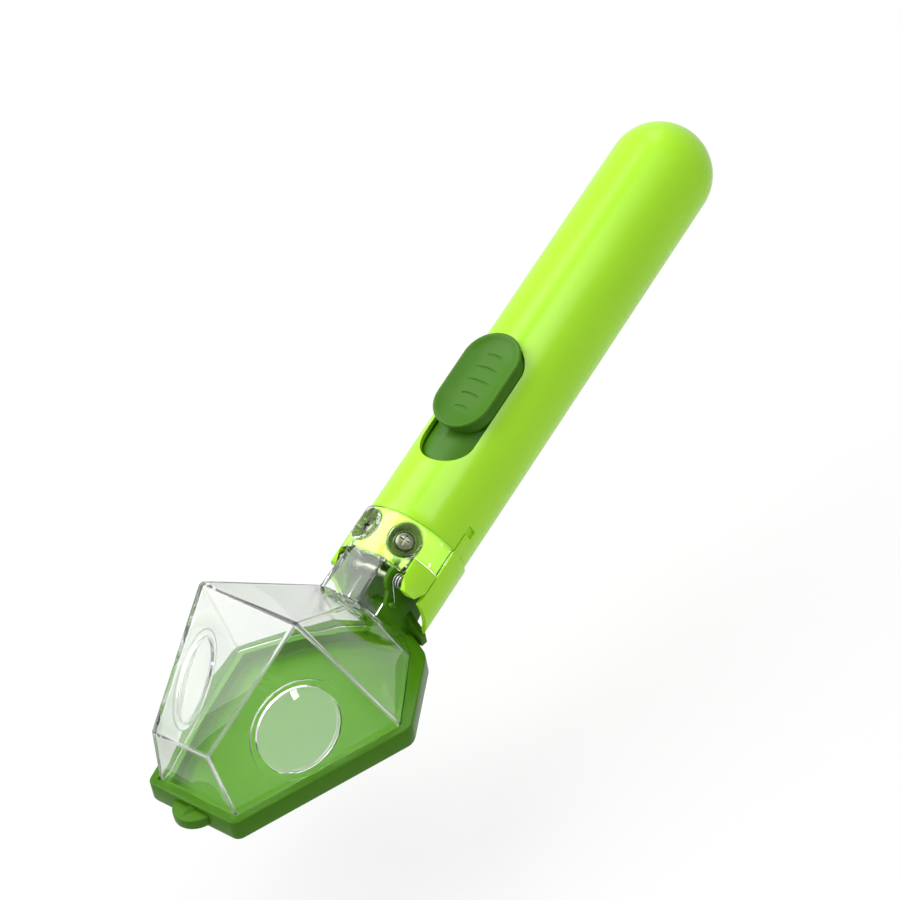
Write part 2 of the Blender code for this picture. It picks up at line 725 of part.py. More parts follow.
def lower_cover(frame, material):
    """The half shell under the collar, with its two snap tongues."""
    edge = COVER_EDGE_ANGLE
    shell = band("cover", SADDLE_BORE, SADDLE_RADIUS, edge, 2 * math.pi - edge,
                 COVER_FRONT, BAND_REAR)
    piece = frame.solid("lower_cover", shell, PARTS)
    cut(piece, frame, undercut("cover_undercut"))
    top_z = SADDLE_RADIUS * math.cos(edge)
    slant = (COVER_FRONT - COVER_TOP_FRONT) / (COVER_TIP_Z - top_z)
    head_y = COVER_TOP_FRONT + slant * OVERRUN
    outline = [(head_y, top_z + OVERRUN), (COVER_FRONT - OVERRUN, top_z + OVERRUN),
               (COVER_FRONT - OVERRUN, COVER_TIP_Z), (COVER_FRONT, COVER_TIP_Z)]
    cut(piece, frame, prism("cover_slant", outline, "X", -SADDLE_RADIUS - OVERRUN,
                            SADDLE_RADIUS + OVERRUN))
    floor = TUBE_RADIUS - POCKET_DEPTH + GAP
    for side in (-1, 1):
        edges = sorted((side * TONGUE_FROM, side * TONGUE_TO))
        add(piece, frame, band("tongue", floor, floor + TONGUE_HEIGHT, *edges,
                               BAND_REAR - OVERRUN, TUBE_FRONT + TONGUE_LENGTH))
    finish(piece, material)
    return piece


def chamber_corners():
    """The right side's corners in the chamber frame, flat faces included."""
    nose = Vector((NOSE_HALF_WIDTH, NOSE_Y, 0))
    shoulder = Vector((SHOULDER_HALF_WIDTH, SHOULDER_Y, 0))
    crest = Vector((CREST_HALF_WIDTH, CREST_Y, CREST_Z))
    haunch = Vector((HAUNCH_HALF_WIDTH, HAUNCH_Y, 0))
    throat = Vector((THROAT_HALF_WIDTH, THROAT_Y, 0))
    side_normal = (shoulder - nose).cross(crest - nose).normalized()
    rear_normal = (haunch - shoulder).cross(crest - shoulder).normalized()

    def on_plane(y, z, normal, origin):
        x = origin.x - (normal.y * (y - origin.y) + normal.z * (z - origin.z)) / normal.x
        return Vector((x, y, z))

    nose_top = on_plane(NOSE_TOP_Y, NOSE_TOP_Z, side_normal, nose)
    throat_top = on_plane(THROAT_TOP_Y, THROAT_TOP_Z, rear_normal, shoulder)
    lens = on_plane(LENS_Y, LENS_Z, side_normal, nose)
    corners = [nose, nose_top, crest, shoulder, haunch, throat, throat_top]
    return corners, throat_top, lens, side_normal * math.copysign(1, side_normal.x)


def mirrored(point):
    """The same point on the left side."""
    return Vector((-point.x, point.y, point.z))


def both_sides(points):
    """Points with their mirror images."""
    return list(points) + [mirrored(point) for point in points]


def neck_block(name, throat_top, inset, rear, foot, top):
    """The neck's solid or its cavity, seated on the chamber's rear wall."""
    rear_wall_top = to_handle(throat_top)
    rear_wall_foot = to_handle((0, THROAT_Y, 0))
    lean = (rear_wall_foot.y - rear_wall_top.y) / (rear_wall_top.z - rear_wall_foot.z)
    start = CHAMBER_WALL / 2 if inset == 0 else -GAP

    def front(z):
        return rear_wall_top.y + (rear_wall_top.z - z) * lean - start

    half_front = NECK_FRONT_HALF_WIDTH - inset
    half_rear = NECK_REAR_HALF_WIDTH - inset
    return hull(name, both_sides([Vector((half_front, front(top), top)),
                                  Vector((half_front, front(foot), foot)),
                                  Vector((half_rear, rear, top)),
                                  Vector((half_rear, rear, foot))]))


def chamber_shell(frame, material):
    """The clear moulding: faceted chamber, neck hood and screwed saddle."""
    corners, throat_top, lens, normal = chamber_corners()
    outer = hull("facets", [to_handle(point) for point in both_sides(corners)])
    inner = sunk_copy("chamber_space", outer, CHAMBER_WALL, OVERRUN)
    piece = frame.solid("chamber_shell", outer, PARTS)
    rounding = piece.modifiers.new("Edges", "BEVEL")
    rounding.width = EDGE_ROUND
    rounding.segments = 2
    rounding.limit_method = "ANGLE"
    rounding.angle_limit = math.radians(12.0)
    cut(piece, frame, inner)

    hood = frame.solid("neck_hood", neck_block("neck", throat_top, 0, NECK_REAR, NECK_FOOT,
                                               NECK_TOP))
    hood_round = hood.modifiers.new("Edges", "BEVEL")
    hood_round.width = NECK_ROUND
    hood_round.segments = 2
    hood_round.limit_method = "ANGLE"
    cut(hood, frame, neck_block("neck_space", throat_top, NECK_WALL, NECK_REAR + OVERRUN,
                                NECK_FOOT - OVERRUN, NECK_TOP - NECK_WALL))
    cut(hood, frame, rod("neck_pin_hole", -ARM_INNER_X - OVERRUN, ARM_INNER_X + OVERRUN,
                         HINGE_Y, HINGE_Z, HINGE_PIN_RADIUS + GAP, SMALL_STEPS))

    reach = SADDLE_HALF_ANGLE
    saddle = frame.solid("saddle_band", band("saddle", SADDLE_BORE, SADDLE_RADIUS, -reach,
                                             reach, SADDLE_FRONT, BAND_REAR))
    for side in (-1, 1):
        inner_x, outer_x = sorted((side * NOTCH_OUTER_X, side * (SADDLE_RADIUS + OVERRUN)))
        cut(saddle, frame, box("ear_notch", (inner_x, SADDLE_FRONT - OVERRUN, 0),
                               (outer_x, EAR_REAR + GAP, EAR_TOP + GAP)))
        angle = side * WELL_ANGLE
        add(saddle, frame, spoke_cone("cup", angle, SADDLE_BORE + SADDLE_WALL / 3,
                                      WELL_CUP_FLOOR, WELL_CUP_RADIUS, WELL_CUP_FLOOR_RADIUS))
        cut(saddle, frame,
            spoke_cone("well", angle, SADDLE_RADIUS + OVERRUN, WELL_FLOOR,
                       WELL_MOUTH_RADIUS + OVERRUN / 2, WELL_FLOOR_RADIUS),
            spoke_cone("saddle_hole", angle, SADDLE_RADIUS, WELL_CUP_FLOOR - OVERRUN,
                       SCREW_SHANK_RADIUS + GAP, SCREW_SHANK_RADIUS + GAP, SMALL_STEPS))

    for tool in (hood, saddle):
        joint = piece.modifiers.new(tool.name, "BOOLEAN")
        joint.operation = "UNION"
        joint.solver = "EXACT"
        joint.object = tool

    for side in (-1, 1):
        place = to_handle((side * lens.x, lens.y, lens.z))
        out = Matrix.Rotation(-HANDLE_TILT, 3, "X") @ Vector((side * normal.x, normal.y, normal.z))
        add(piece, frame, cone("bezel", place - out * CHAMBER_WALL / 2,
                               place + out * BEZEL_HEIGHT, BEZEL_RADIUS, BEZEL_RADIUS, FINE_STEPS))
        ledge = LENS_RADIUS - LENS_LEDGE
        seat = LENS_RADIUS + GAP
        cut(piece, frame,
            cone("lens_window", place - out * (CHAMBER_WALL + OVERRUN),
                 place + out * (BEZEL_HEIGHT + OVERRUN), ledge, ledge, FINE_STEPS),
            cone("lens_seat", place - out * LENS_SEAT_DEPTH,
                 place + out * (BEZEL_HEIGHT + OVERRUN), seat, seat, FINE_STEPS))
    weld = piece.modifiers.new("Weld", "WELD")
    weld.merge_threshold = WELD_DISTANCE
    finish(piece, material)
    return piece


def lens(frame, name, side, material):
    """A plano-convex magnifying lens on its seat in a side face."""
    _, _, place, normal = chamber_corners()
    sag = LENS_CROWN
    bulge = (LENS_RADIUS ** 2 + sag ** 2) / (2 * sag)
    half_angle = math.asin(LENS_RADIUS / bulge)
    crown = arc((0, LENS_EDGE + sag - bulge), bulge, math.pi / 2,
                math.pi / 2 - half_angle, half_angle / 4)
    profile = crown + [(LENS_RADIUS, 0), (0, 0)]
    profile[0] = (0, profile[0][1])
    out = Vector((side * normal.x, normal.y, normal.z))
    seat = Vector((side * place.x, place.y, place.z)) - out * (LENS_SEAT_DEPTH - GAP)
    out = Matrix.Rotation(-HANDLE_TILT, 3, "X") @ out
    turn = out.to_track_quat("Z", "Y").to_matrix().to_4x4()
    matrix = Matrix.Translation(to_handle(seat)) @ turn
    piece = frame.solid(name, turned(name, profile, matrix), PARTS)
    finish(piece, material)
    return piece


def base_outline():
    """The chamber's bottom outline, counter-clockwise."""
    right = [(NOSE_HALF_WIDTH, NOSE_Y), (SHOULDER_HALF_WIDTH, SHOULDER_Y),
             (HAUNCH_HALF_WIDTH, HAUNCH_Y), (THROAT_HALF_WIDTH, THROAT_Y)]
    return right + [(-x, y) for x, y in reversed(right)]


def lifted(outline, z):
    """A flat outline set at a height."""
    return [(x, y, z) for x, y in outline]


def spring_lug():
    """The centre of the lug that the spring's free leg pushes, in the handle frame."""
    start_y = HINGE_Y + SPRING_RADIUS * math.cos(SPRING_FREE_ANGLE)
    start_z = HINGE_Z + SPRING_RADIUS * math.sin(SPRING_FREE_ANGLE)
    along = (-math.sin(SPRING_FREE_ANGLE), math.cos(SPRING_FREE_ANGLE))
    away = LUG_RADIUS + GAP + WIRE_RADIUS
    return (start_y + along[0] * LUG_ALONG_LEG + along[1] * away,
            start_z + along[1] * LUG_ALONG_LEG - along[0] * away)


def drive_point(angle):
    """The drive pin's place in the handle frame, for an opening angle."""
    turn = DRIVE_ANGLE + angle
    return HINGE_Y + DRIVE_ARM * math.cos(turn), HINGE_Z + DRIVE_ARM * math.sin(turn)


def flat_in_chamber(point):
    """A (y, z) pair of the handle frame as a (y, z) pair of the chamber frame."""
    moved = to_chamber(*point)
    return moved.y, moved.z


def arm_outline():
    """The sector arm from the hub to the tray, the lobe and the lug pad."""
    hub = flat_in_chamber((HINGE_Y, HINGE_Z))
    lobe = flat_in_chamber(drive_point(0))
    pad = flat_in_chamber(spring_lug())
    heel = flat_in_chamber((ARM_HEEL_Y, ARM_HEEL_Z))
    feet = [(ARM_FOOT_FRONT, ARM_FOOT_Z), (ARM_FOOT_REAR, ARM_FOOT_Z), heel]
    return convex_outline(circle(hub, ARM_HUB_RADIUS) + circle(lobe, ARM_LOBE_RADIUS)
                          + circle(pad, LUG_PAD_RADIUS) + feet)


def tray_body(frame):
    """The dished plate with its lip, before the tail and arms join it."""
    base = base_outline()
    outer = rounded_outline(offset_outline(base, TRAY_MARGIN), TRAY_CORNER)
    tucked = rounded_outline(offset_outline(base, TRAY_MARGIN - TRAY_TUCK),
                             TRAY_CORNER - TRAY_TUCK)
    body = loft("tray_plate", [lifted(tucked, -TRAY_DEPTH),
                               lifted(outer, -TRAY_DEPTH + TRAY_CHAMFER),
                               lifted(outer, TRAY_LIP)])
    piece = frame.solid("tray", body, PARTS)
    seat = offset_outline(base, GAP)
    floor = rounded_outline(offset_outline(base, -TRAY_LEDGE), FLOOR_CORNER)
    floor_z = -TRAY_DEPTH + TRAY_FLOOR
    cut(piece, frame, prism("chamber_seat", seat, "Z", -GAP, TRAY_LIP + OVERRUN),
        prism("floor_pocket", floor, "Z", floor_z, OVERRUN))
    crown_base = offset_outline(base, -TRAY_LEDGE - FLOOR_CROWN_INSET)
    ridge = [(0, FLOOR_RIDGE_FRONT, floor_z + FLOOR_CROWN),
             (0, FLOOR_RIDGE_REAR, floor_z + FLOOR_CROWN)]
    sunk = floor_z - FLOOR_CROWN
    add(piece, frame, hull("floor_crown", lifted(crown_base, sunk) + ridge
                           + lifted(crown_base, floor_z + GAP / 3)))
    return piece


def tray(frame, material):
    """The swinging tray: dished floor, finger tab, tail wall and hinge arms."""
    piece = tray_body(frame)
    front = NOSE_Y - TRAY_MARGIN
    tab_top = -TAB_DROP
    centre = (0, front - TAB_REACH + TAB_RADIUS)
    add(piece, frame,
        cone("finger_tab", (*centre, tab_top - TAB_THICKNESS), (*centre, tab_top),
             TAB_RADIUS, TAB_RADIUS))
    inside = front + TRAY_MARGIN / 2
    crease = [(TAB_CREASE_HALF_WIDTH, inside, tab_top - GAP),
              (-TAB_CREASE_HALF_WIDTH, inside, tab_top - GAP),
              (0, inside, tab_top + TAB_CREASE_HEIGHT),
              (0, front - TAB_REACH + OVERRUN / 2, tab_top - GAP),
              (0, inside, tab_top - TAB_THICKNESS / 2)]
    add(piece, frame, hull("tab_crease", crease))
    outline = [(-TAIL_FOOT_HALF_WIDTH, -TAB_THICKNESS), (TAIL_FOOT_HALF_WIDTH, -TAB_THICKNESS),
               (TAIL_FOOT_HALF_WIDTH, GAP), (TAIL_TOP_HALF_WIDTH, TAIL_WALL_TOP),
               (-TAIL_TOP_HALF_WIDTH, TAIL_WALL_TOP), (-TAIL_FOOT_HALF_WIDTH, GAP)]
    add(piece, frame, prism("tail_wall", outline, "Y", TAIL_WALL_FRONT, TAIL_WALL_REAR))
    hub = flat_in_chamber((HINGE_Y, HINGE_Z))
    lobe = flat_in_chamber(drive_point(0))
    for side in (-1, 1):
        edges = sorted((side * ARM_INNER_X, side * ARM_OUTER_X))
        add(piece, frame, prism("arm", arm_outline(), "X", *edges),
            rod("knuckle", *edges, *hub, KNUCKLE_RADIUS))
    pad = flat_in_chamber(spring_lug())
    add(piece, frame, rod("spring_lug", ARM_OUTER_X - OVERRUN, LUG_OUTER_X, *pad,
                          LUG_RADIUS, SMALL_STEPS))
    for side in (-1, 1):
        ends = sorted((side * (ARM_INNER_X - OVERRUN), side * (ARM_OUTER_X + OVERRUN)))
        cut(piece, frame,
            rod("hinge_hole", *ends, *hub, HINGE_PIN_RADIUS + GAP, SMALL_STEPS),
            rod("drive_hole", *ends, *lobe, DRIVE_PIN_RADIUS + GAP, SMALL_STEPS))
    finish(piece, material)
    return piece


def cam_path():
    """The drive pin's path past the carriage, in the carriage at rest."""
    path = []
    for i in range(CAM_STEPS + 1):
        share = i / CAM_STEPS
        y, z = drive_point(OPEN_ANGLE * share)
        path.append((y + TRAVEL * share, z))
    return path


def slider_carriage(frame, material):
    """The curved plate under the button and the nose bar with its cam slot."""
    reach = PLATE_HALF_ANGLE
    plate = band("plate", PLATE_BORE, PLATE_RADIUS, -reach, reach, PLATE_FRONT, PLATE_REAR)
    piece = frame.solid("slider_carriage", plate, PARTS)
    path = cam_path()
    wall = CAM_HALF_WIDTH + CAM_WALL
    half = NOSE_BAR_HALF_WIDTH
    web_top = PLATE_BORE + WEB_EMBED
    web = convex_outline(circle(path[-1], wall) + [(WEB_FRONT, PLATE_BORE - WEB_EMBED),
                                                   (PLATE_FRONT + WEB_EMBED, web_top),
                                                   (WEB_REAR, web_top)])
    add(piece, frame, prism("web", web, "X", -half, half),
        prism("nose_bar", swept_outline(path, wall), "X", -half, half))
    cut(piece, frame, prism("cam_slot", swept_outline(path, CAM_HALF_WIDTH), "X",
                            -half - OVERRUN, half + OVERRUN))
    for y in button_screw_places():
        cut(piece, frame, cone("plate_hole", (0, y, 0), (0, y, TUBE_RADIUS),
                               BUTTON_SCREW_SHANK_RADIUS + GAP,
                               BUTTON_SCREW_SHANK_RADIUS + GAP, SMALL_STEPS))
    finish(piece, material)
    return piece


def button_screw_places():
    """Where the two button screws stand along the handle."""
    return BUTTON_FRONT + BUTTON_SCREW_INSET, BUTTON_REAR - BUTTON_SCREW_INSET


def button_section(inset, z):
    """The button's outline, drawn in by an inset, at a height."""
    outline = obround(STEM_HALF_WIDTH - inset, BUTTON_FRONT + inset, BUTTON_REAR - inset)
    return lifted(outline, z)


def grip_line(y):
    """One shallow groove across the dish, bowed towards the tail."""
    floor = LIP_TOP_Z - DISH_DEPTH
    curve = bpy.data.curves.new("grip_line", "CURVE")
    curve.dimensions = "3D"
    curve.bevel_depth = GRIP_RADIUS
    curve.bevel_resolution = 1
    curve.use_fill_caps = True
    spline = curve.splines.new("POLY")
    spline.points.add(GRIP_POINTS - 1)
    for i, point in enumerate(spline.points):
        share = 2 * i / (GRIP_POINTS - 1) - 1
        point.co = (GRIP_HALF_WIDTH * share, y + GRIP_BOW * (1 - share ** 2), floor, 1)
    made = baked("grip_line", bpy.data.objects.new("grip_line", curve))
    bpy.data.curves.remove(curve)
    return made


def slider_button(frame, material):
    """The thumb button: flared stem, overhanging lip and a dished top."""
    body = loft("button", [button_section(0, STEM_FOOT), button_section(0, STEM_TOP),
                           button_section(WAIST_INSET, WAIST_Z),
                           button_section(LIP_FOOT_INSET, LIP_FOOT_Z),
                           button_section(LIP_TOP_INSET, LIP_TOP_Z)])
    piece = frame.solid("slider_button", body, PARTS)
    dish = loft("dish", [button_section(DISH_FLOOR_INSET, LIP_TOP_Z - DISH_DEPTH),
                         button_section(DISH_WALL_INSET, LIP_TOP_Z - DISH_WALL_DEPTH),
                         button_section(DISH_RIM_INSET, LIP_TOP_Z),
                         button_section(DISH_RIM_INSET, LIP_TOP_Z + OVERRUN)])
    cut(piece, frame, dish)
    middle = (BUTTON_FRONT + BUTTON_REAR) / 2
    for i in range(GRIP_LINES):
        cut(piece, frame, grip_line(middle + GRIP_PITCH * (i - (GRIP_LINES - 1) / 2)))
    hollow = PLATE_RADIUS + GAP
    cut(piece, frame, cone("stem_hollow", (0, BUTTON_FRONT - OVERRUN, 0),
                           (0, BUTTON_REAR + OVERRUN, 0), hollow, hollow, FINE_STEPS))
    pilot = BUTTON_SCREW_SHANK_RADIUS + GAP
    for y in button_screw_places():
        top = PLATE_BORE + BUTTON_PILOT_DEPTH
        cut(piece, frame, cone("pilot", (0, y, 0), (0, y, top), pilot, pilot, SMALL_STEPS))
    finish(piece, material)
    return piece


def screw(frame, name, head, tip, head_radius, head_height, shank_radius, material):
    """A pan-head screw from its head's seat towards its tip, with a cross recess."""
    head, tip = Vector(head), Vector(tip)
    out = (head - tip).normalized()
    length = (head - tip).length
    dome = head_height * 0.55
    profile = [(0, head_height), (head_radius * 0.6, head_height - dome * 0.25),
               (head_radius * 0.92, head_height - dome), (head_radius, head_height * 0.2),
               (head_radius, 0), (shank_radius, 0), (shank_radius, -length), (0, -length)]
    turn = out.to_track_quat("Z", "Y").to_matrix().to_4x4()
    matrix = Matrix.Translation(head) @ turn
    piece = frame.solid(name, turned(name, profile, matrix, steps=SMALL_STEPS), PARTS)
    share = head_radius / SCREW_HEAD_RADIUS
    half_long, half_wide = SCREW_CROSS_LENGTH * share / 2, SCREW_CROSS_WIDTH * share / 2
    floor = head_height - SCREW_CROSS_DEPTH * share
    for x, y in ((half_long, half_wide), (half_wide, half_long)):
        recess = box(name + "_recess", (-x, -y, floor), (x, y, head_height + OVERRUN))
        recess.transform(matrix)
        cut(piece, frame, recess)
    finish(piece, material)
    return piece


def saddle_screw(frame, name, side, material):
    """A screw on the floor of one of the saddle's wells."""
    seat = WELL_FLOOR + GAP
    return screw(frame, name, radial(side * WELL_ANGLE, seat),
                 radial(side * WELL_ANGLE, seat - SCREW_REACH), SCREW_HEAD_RADIUS,
                 SCREW_HEAD_HEIGHT, SCREW_SHANK_RADIUS, material)


def button_screw(frame, name, y, material):
    """A screw from under the carriage plate up into the button."""
    seat = PLATE_BORE - GAP - BUTTON_SCREW_HEAD_RADIUS ** 2 / (2 * PLATE_BORE)
    return screw(frame, name, (0, y, seat), (0, y, seat + BUTTON_SCREW_REACH),
                 BUTTON_SCREW_HEAD_RADIUS, BUTTON_SCREW_HEAD_HEIGHT,
                 BUTTON_SCREW_SHANK_RADIUS, material)


def least_self_gap(points, reach):
    """The least distance between stretches of the wire that aren't neighbours."""
    gap = math.inf
    for i, first in enumerate(points):
        run = 0
        for before, second in zip(points[i:], points[i + 1:]):
            run += (second - before).length
            if run > reach:
                gap = min(gap, (second - first).length)
    return gap - 2 * WIRE_RADIUS


def return_spring(frame, material):
    """The torsion spring: curls round the pin, one leg each on collar and tray."""
    sweep = SPRING_FREE_ANGLE - SPRING_FIXED_ANGLE + SPRING_WHOLE_TURNS * 2 * math.pi
    count = math.ceil(sweep / (2 * math.pi) * POINTS_PER_TURN)
    points = []
    for i in range(count + 1):
        share = i / count
        turn = SPRING_FIXED_ANGLE + sweep * share
        x = SPRING_OUTER_X + (SPRING_INNER_X - SPRING_OUTER_X) * share
        points.append(Vector((x, HINGE_Y + SPRING_RADIUS * math.cos(turn),
                              HINGE_Z + SPRING_RADIUS * math.sin(turn))))
    fixed, free = SPRING_FIXED_ANGLE, SPRING_FREE_ANGLE
    leg_out = Vector((0, math.sin(fixed), -math.cos(fixed))) * FIXED_LEG
    leg_down = Vector((0, -math.sin(free), math.cos(free))) * FREE_LEG
    points = [points[0] + leg_out] + points + [points[-1] + leg_down]
    print("return_spring least gap to itself, mm:",
          round(least_self_gap(points[1:-1], math.pi * SPRING_RADIUS) / MM, 3))
    curve = bpy.data.curves.new("wire", "CURVE")
    curve.dimensions = "3D"
    curve.bevel_depth = WIRE_RADIUS
    curve.bevel_resolution = 1
    curve.use_fill_caps = True
    spline = curve.splines.new("POLY")
    spline.points.add(len(points) - 1)
    for knot, place in zip(spline.points, points):
        knot.co = (*place, 1)
    wire = baked("wire", bpy.data.objects.new("wire", curve))
    bpy.data.curves.remove(curve)
    piece = frame.solid("return_spring", wire, PARTS)
    finish(piece, material)
    return piece


def pin(frame, name, half_length, y, z, radius, material):
    """A plain steel pin along x."""
    piece = frame.solid(name, rod(name, -half_length, half_length, y, z, radius), PARTS)
    finish(piece, material)
    return piece


def build():
    """Make the frames, then every piece in its own frame."""
    lime = plastic("lime_plastic", LIME, 0.28)
    dark = plastic("dark_green_plastic", SLIDER_GREEN, 0.35)
    green = plastic("green_plastic", TRAY_GREEN, 0.32)
    clear = plastic("clear_plastic", CLEAR, 0.05, clear=1.0)
    steel = plastic("steel", STEEL, 0.22, metallic=1.0)

    axis = empty("handle_axis", (0, SETBACK, TRAY_DEPTH + AXIS_RISE), HANDLE_TILT)
    handle = Frame(axis, Vector())
    track = Frame(empty("slider_track", Vector(), parent=axis), Vector())
    hinge = to_chamber(HINGE_Y, HINGE_Z)
    pivot = empty("tray_pivot", Vector((0, SETBACK, TRAY_DEPTH)) + hinge)
    swing = Frame(pivot, -hinge)

    handle_tube(handle, lime)
    front_collar(handle, lime)
    lower_cover(handle, lime)
    chamber_shell(handle, clear)
    lens(handle, "lens_right", 1, clear)
    lens(handle, "lens_left", -1, clear)
    pin(handle, "hinge_pin", HINGE_PIN_HALF_LENGTH, HINGE_Y, HINGE_Z, HINGE_PIN_RADIUS, steel)
    return_spring(handle, steel)
    saddle_screw(handle, "saddle_screw_right", 1, steel)
    saddle_screw(handle, "saddle_screw_left", -1, steel)

    tray(swing, green)
    lobe = flat_in_chamber(drive_point(0))
    pin(swing, "drive_pin", ARM_OUTER_X, *lobe, DRIVE_PIN_RADIUS, steel)

    slider_carriage(track, dark)
    slider_button(track, dark)
    front_y, rear_y = button_screw_places()
    button_screw(track, "button_screw_front", front_y, steel)
    button_screw(track, "button_screw_rear", rear_y, steel)


build()
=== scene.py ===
"""The spider catcher's finished pieces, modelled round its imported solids.

Two frames carry the sizes. The handle frame has its y axis along the tube, and
the chamber frame has the chamber's open bottom edge on its plane z = 0.
"""

import math

import bmesh
import bpy
from mathutils import Matrix, Vector


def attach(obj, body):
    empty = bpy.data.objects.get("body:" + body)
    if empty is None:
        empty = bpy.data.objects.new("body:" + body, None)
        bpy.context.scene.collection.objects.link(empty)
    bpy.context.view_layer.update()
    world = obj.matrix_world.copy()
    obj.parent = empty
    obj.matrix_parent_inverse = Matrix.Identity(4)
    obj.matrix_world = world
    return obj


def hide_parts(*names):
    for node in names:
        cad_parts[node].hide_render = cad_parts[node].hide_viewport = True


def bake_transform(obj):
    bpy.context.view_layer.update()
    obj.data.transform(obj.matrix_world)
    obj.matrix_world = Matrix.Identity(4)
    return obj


bl_info = {
    "name": "Spider catcher",
    "version": (1, 0, 0),
    "blender": (4, 5, 0),
    "location": "View3D > Sidebar > Catcher",
    "description": "Models a long-handled spider catcher piece by piece",
    "category": "Add Mesh",
}

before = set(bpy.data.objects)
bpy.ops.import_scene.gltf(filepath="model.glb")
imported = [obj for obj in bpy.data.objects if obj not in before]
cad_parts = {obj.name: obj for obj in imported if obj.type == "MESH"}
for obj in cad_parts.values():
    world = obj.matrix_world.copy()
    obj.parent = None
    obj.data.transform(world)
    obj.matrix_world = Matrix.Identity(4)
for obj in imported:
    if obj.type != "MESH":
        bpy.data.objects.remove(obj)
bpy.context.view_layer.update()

MM = 0.001

# Frames
HANDLE_TILT = math.radians(20.53)
AXIS_RISE = 14.32 * MM
TRAY_DEPTH = 6.2 * MM
SETBACK = 50.0 * MM
HANDLE = (Matrix.Translation((0, SETBACK, TRAY_DEPTH + AXIS_RISE))
          @ Matrix.Rotation(HANDLE_TILT, 4, "X"))
CHAMBER = Matrix.Translation((0, SETBACK, TRAY_DEPTH))
TO_HANDLE = HANDLE.inverted() @ CHAMBER

# Clearances and mesh steps
GAP = 0.3 * MM
OVERRUN = 1.0 * MM
WELD = 0.002 * MM
ROUND_STEPS = 128
SMALL_STEPS = 48
ARC_STEP = math.radians(4.0)
FLAT_ANGLE = math.radians(0.4)
CREASE_ANGLE = math.radians(32.0)
EDGE_ANGLE = math.radians(28.0)
SHARP_ANGLE = math.radians(40.0)
EDGE_STEP = math.radians(30.0)
SOFT_EDGE = 0.25 * MM
LEAST_STEPS = 4
WIRE_RINGS = 4
SLIVER = 0.02 * MM
BAND_TURN = math.pi / 2

# Handle tube
TUBE_RADIUS = 16.0 * MM
TUBE_WALL = 1.6 * MM
TUBE_FRONT = 12.0 * MM
TUBE_TAIL_CENTRE = 148.2 * MM
TUBE_RING_STEP = 2.4 * MM
TUBE_EDGE = 0.4 * MM
RAIL_INNER_X = 9.4 * MM
RAIL_OUTER_X = 13.4 * MM
RAIL_THICKNESS = 1.6 * MM
RAIL_START = 23.0 * MM
RAIL_END = 92.0 * MM
RAIL_SEAT_ANGLE = math.radians(50.0)
HANDLE_EDGE = 0.3 * MM
HANDLE_EDGE_ANGLE = math.radians(50.0)

# Saddle, collar and cover
SADDLE_RADIUS = 16.8 * MM
SADDLE_WALL = 1.5 * MM
SADDLE_FRONT = -3.1 * MM
SADDLE_HALF_ANGLE = math.radians(76.0)
COVER_EDGE_ANGLE = math.radians(77.3)
COVER_FRONT = -10.0 * MM
COVER_TOP_FRONT = -7.0 * MM
COVER_TIP_Z = -9.7 * MM
UNDERCUT_HALF_WIDTH = 13.2 * MM
UNDERCUT_TOP = -5.0 * MM
UNDERCUT_REAR = 7.2 * MM
TONGUE_FROM = math.radians(79.0)
TONGUE_TO = math.radians(89.0)
TONGUE_LENGTH = 5.9 * MM
TONGUE_HEIGHT = 1.0 * MM
POCKET_DEPTH = 0.9 * MM
POCKET_LENGTH = 8.6 * MM
POCKET_MARGIN = math.radians(1.0)
COLLAR_WALL = 1.8 * MM
COLLAR_FRONT = -1.8 * MM
SPIGOT_WALL = 1.5 * MM
SPIGOT_LENGTH = 10.0 * MM
SPIGOT_HALF_OPENING = math.radians(70.0)
EAR_INNER_X = 12.0 * MM
EAR_TOP = 11.6 * MM
EAR_FOOT = 4.1 * MM
EAR_FRONT = -7.0 * MM
EAR_SHOULDER = -3.5 * MM
EAR_REAR = 2.3 * MM
EAR_CLIP = 2.1 * MM
NOTCH_INNER_X = 6.8 * MM
NOTCH_OUTER_X = 8.9 * MM
NOTCH_REAR = 0.3 * MM
RELIEF_TOP = 9.7 * MM
RELIEF_REAR = 4.6 * MM
EAR_EDGE = 0.4 * MM
SADDLE_EDGE = 0.2 * MM

# Screw wells and screws
WELL_ANGLE = math.radians(27.0)
WELL_Y = 5.5 * MM
WELL_MOUTH_RADIUS = 5.25 * MM
WELL_FLOOR_RADIUS = 3.3 * MM
WELL_FLOOR = 13.9 * MM
WELL_FLOOR_WALL = 1.2 * MM
WELL_MOUTH_WALL = 0.405 * MM
WELL_FOOT_WALL = 0.675 * MM
BOSS_MOUTH_WALL = 0.4 * MM
BOSS_WALL = 1.2 * MM
BOSS_END = 11.0 * MM
SCREW_HEAD_RADIUS = 2.9 * MM
SCREW_HEAD_HEIGHT = 1.5 * MM
SCREW_SHANK_RADIUS = 1.1 * MM
SCREW_REACH = 4.0 * MM
SCREW_CROSS_WIDTH = 0.7 * MM
SCREW_CROSS_LENGTH = 3.2 * MM
SCREW_CROSS_DEPTH = 0.8 * MM
SCREW_RIM_SHARE = 0.35
SCREW_DOME_STEPS = 8

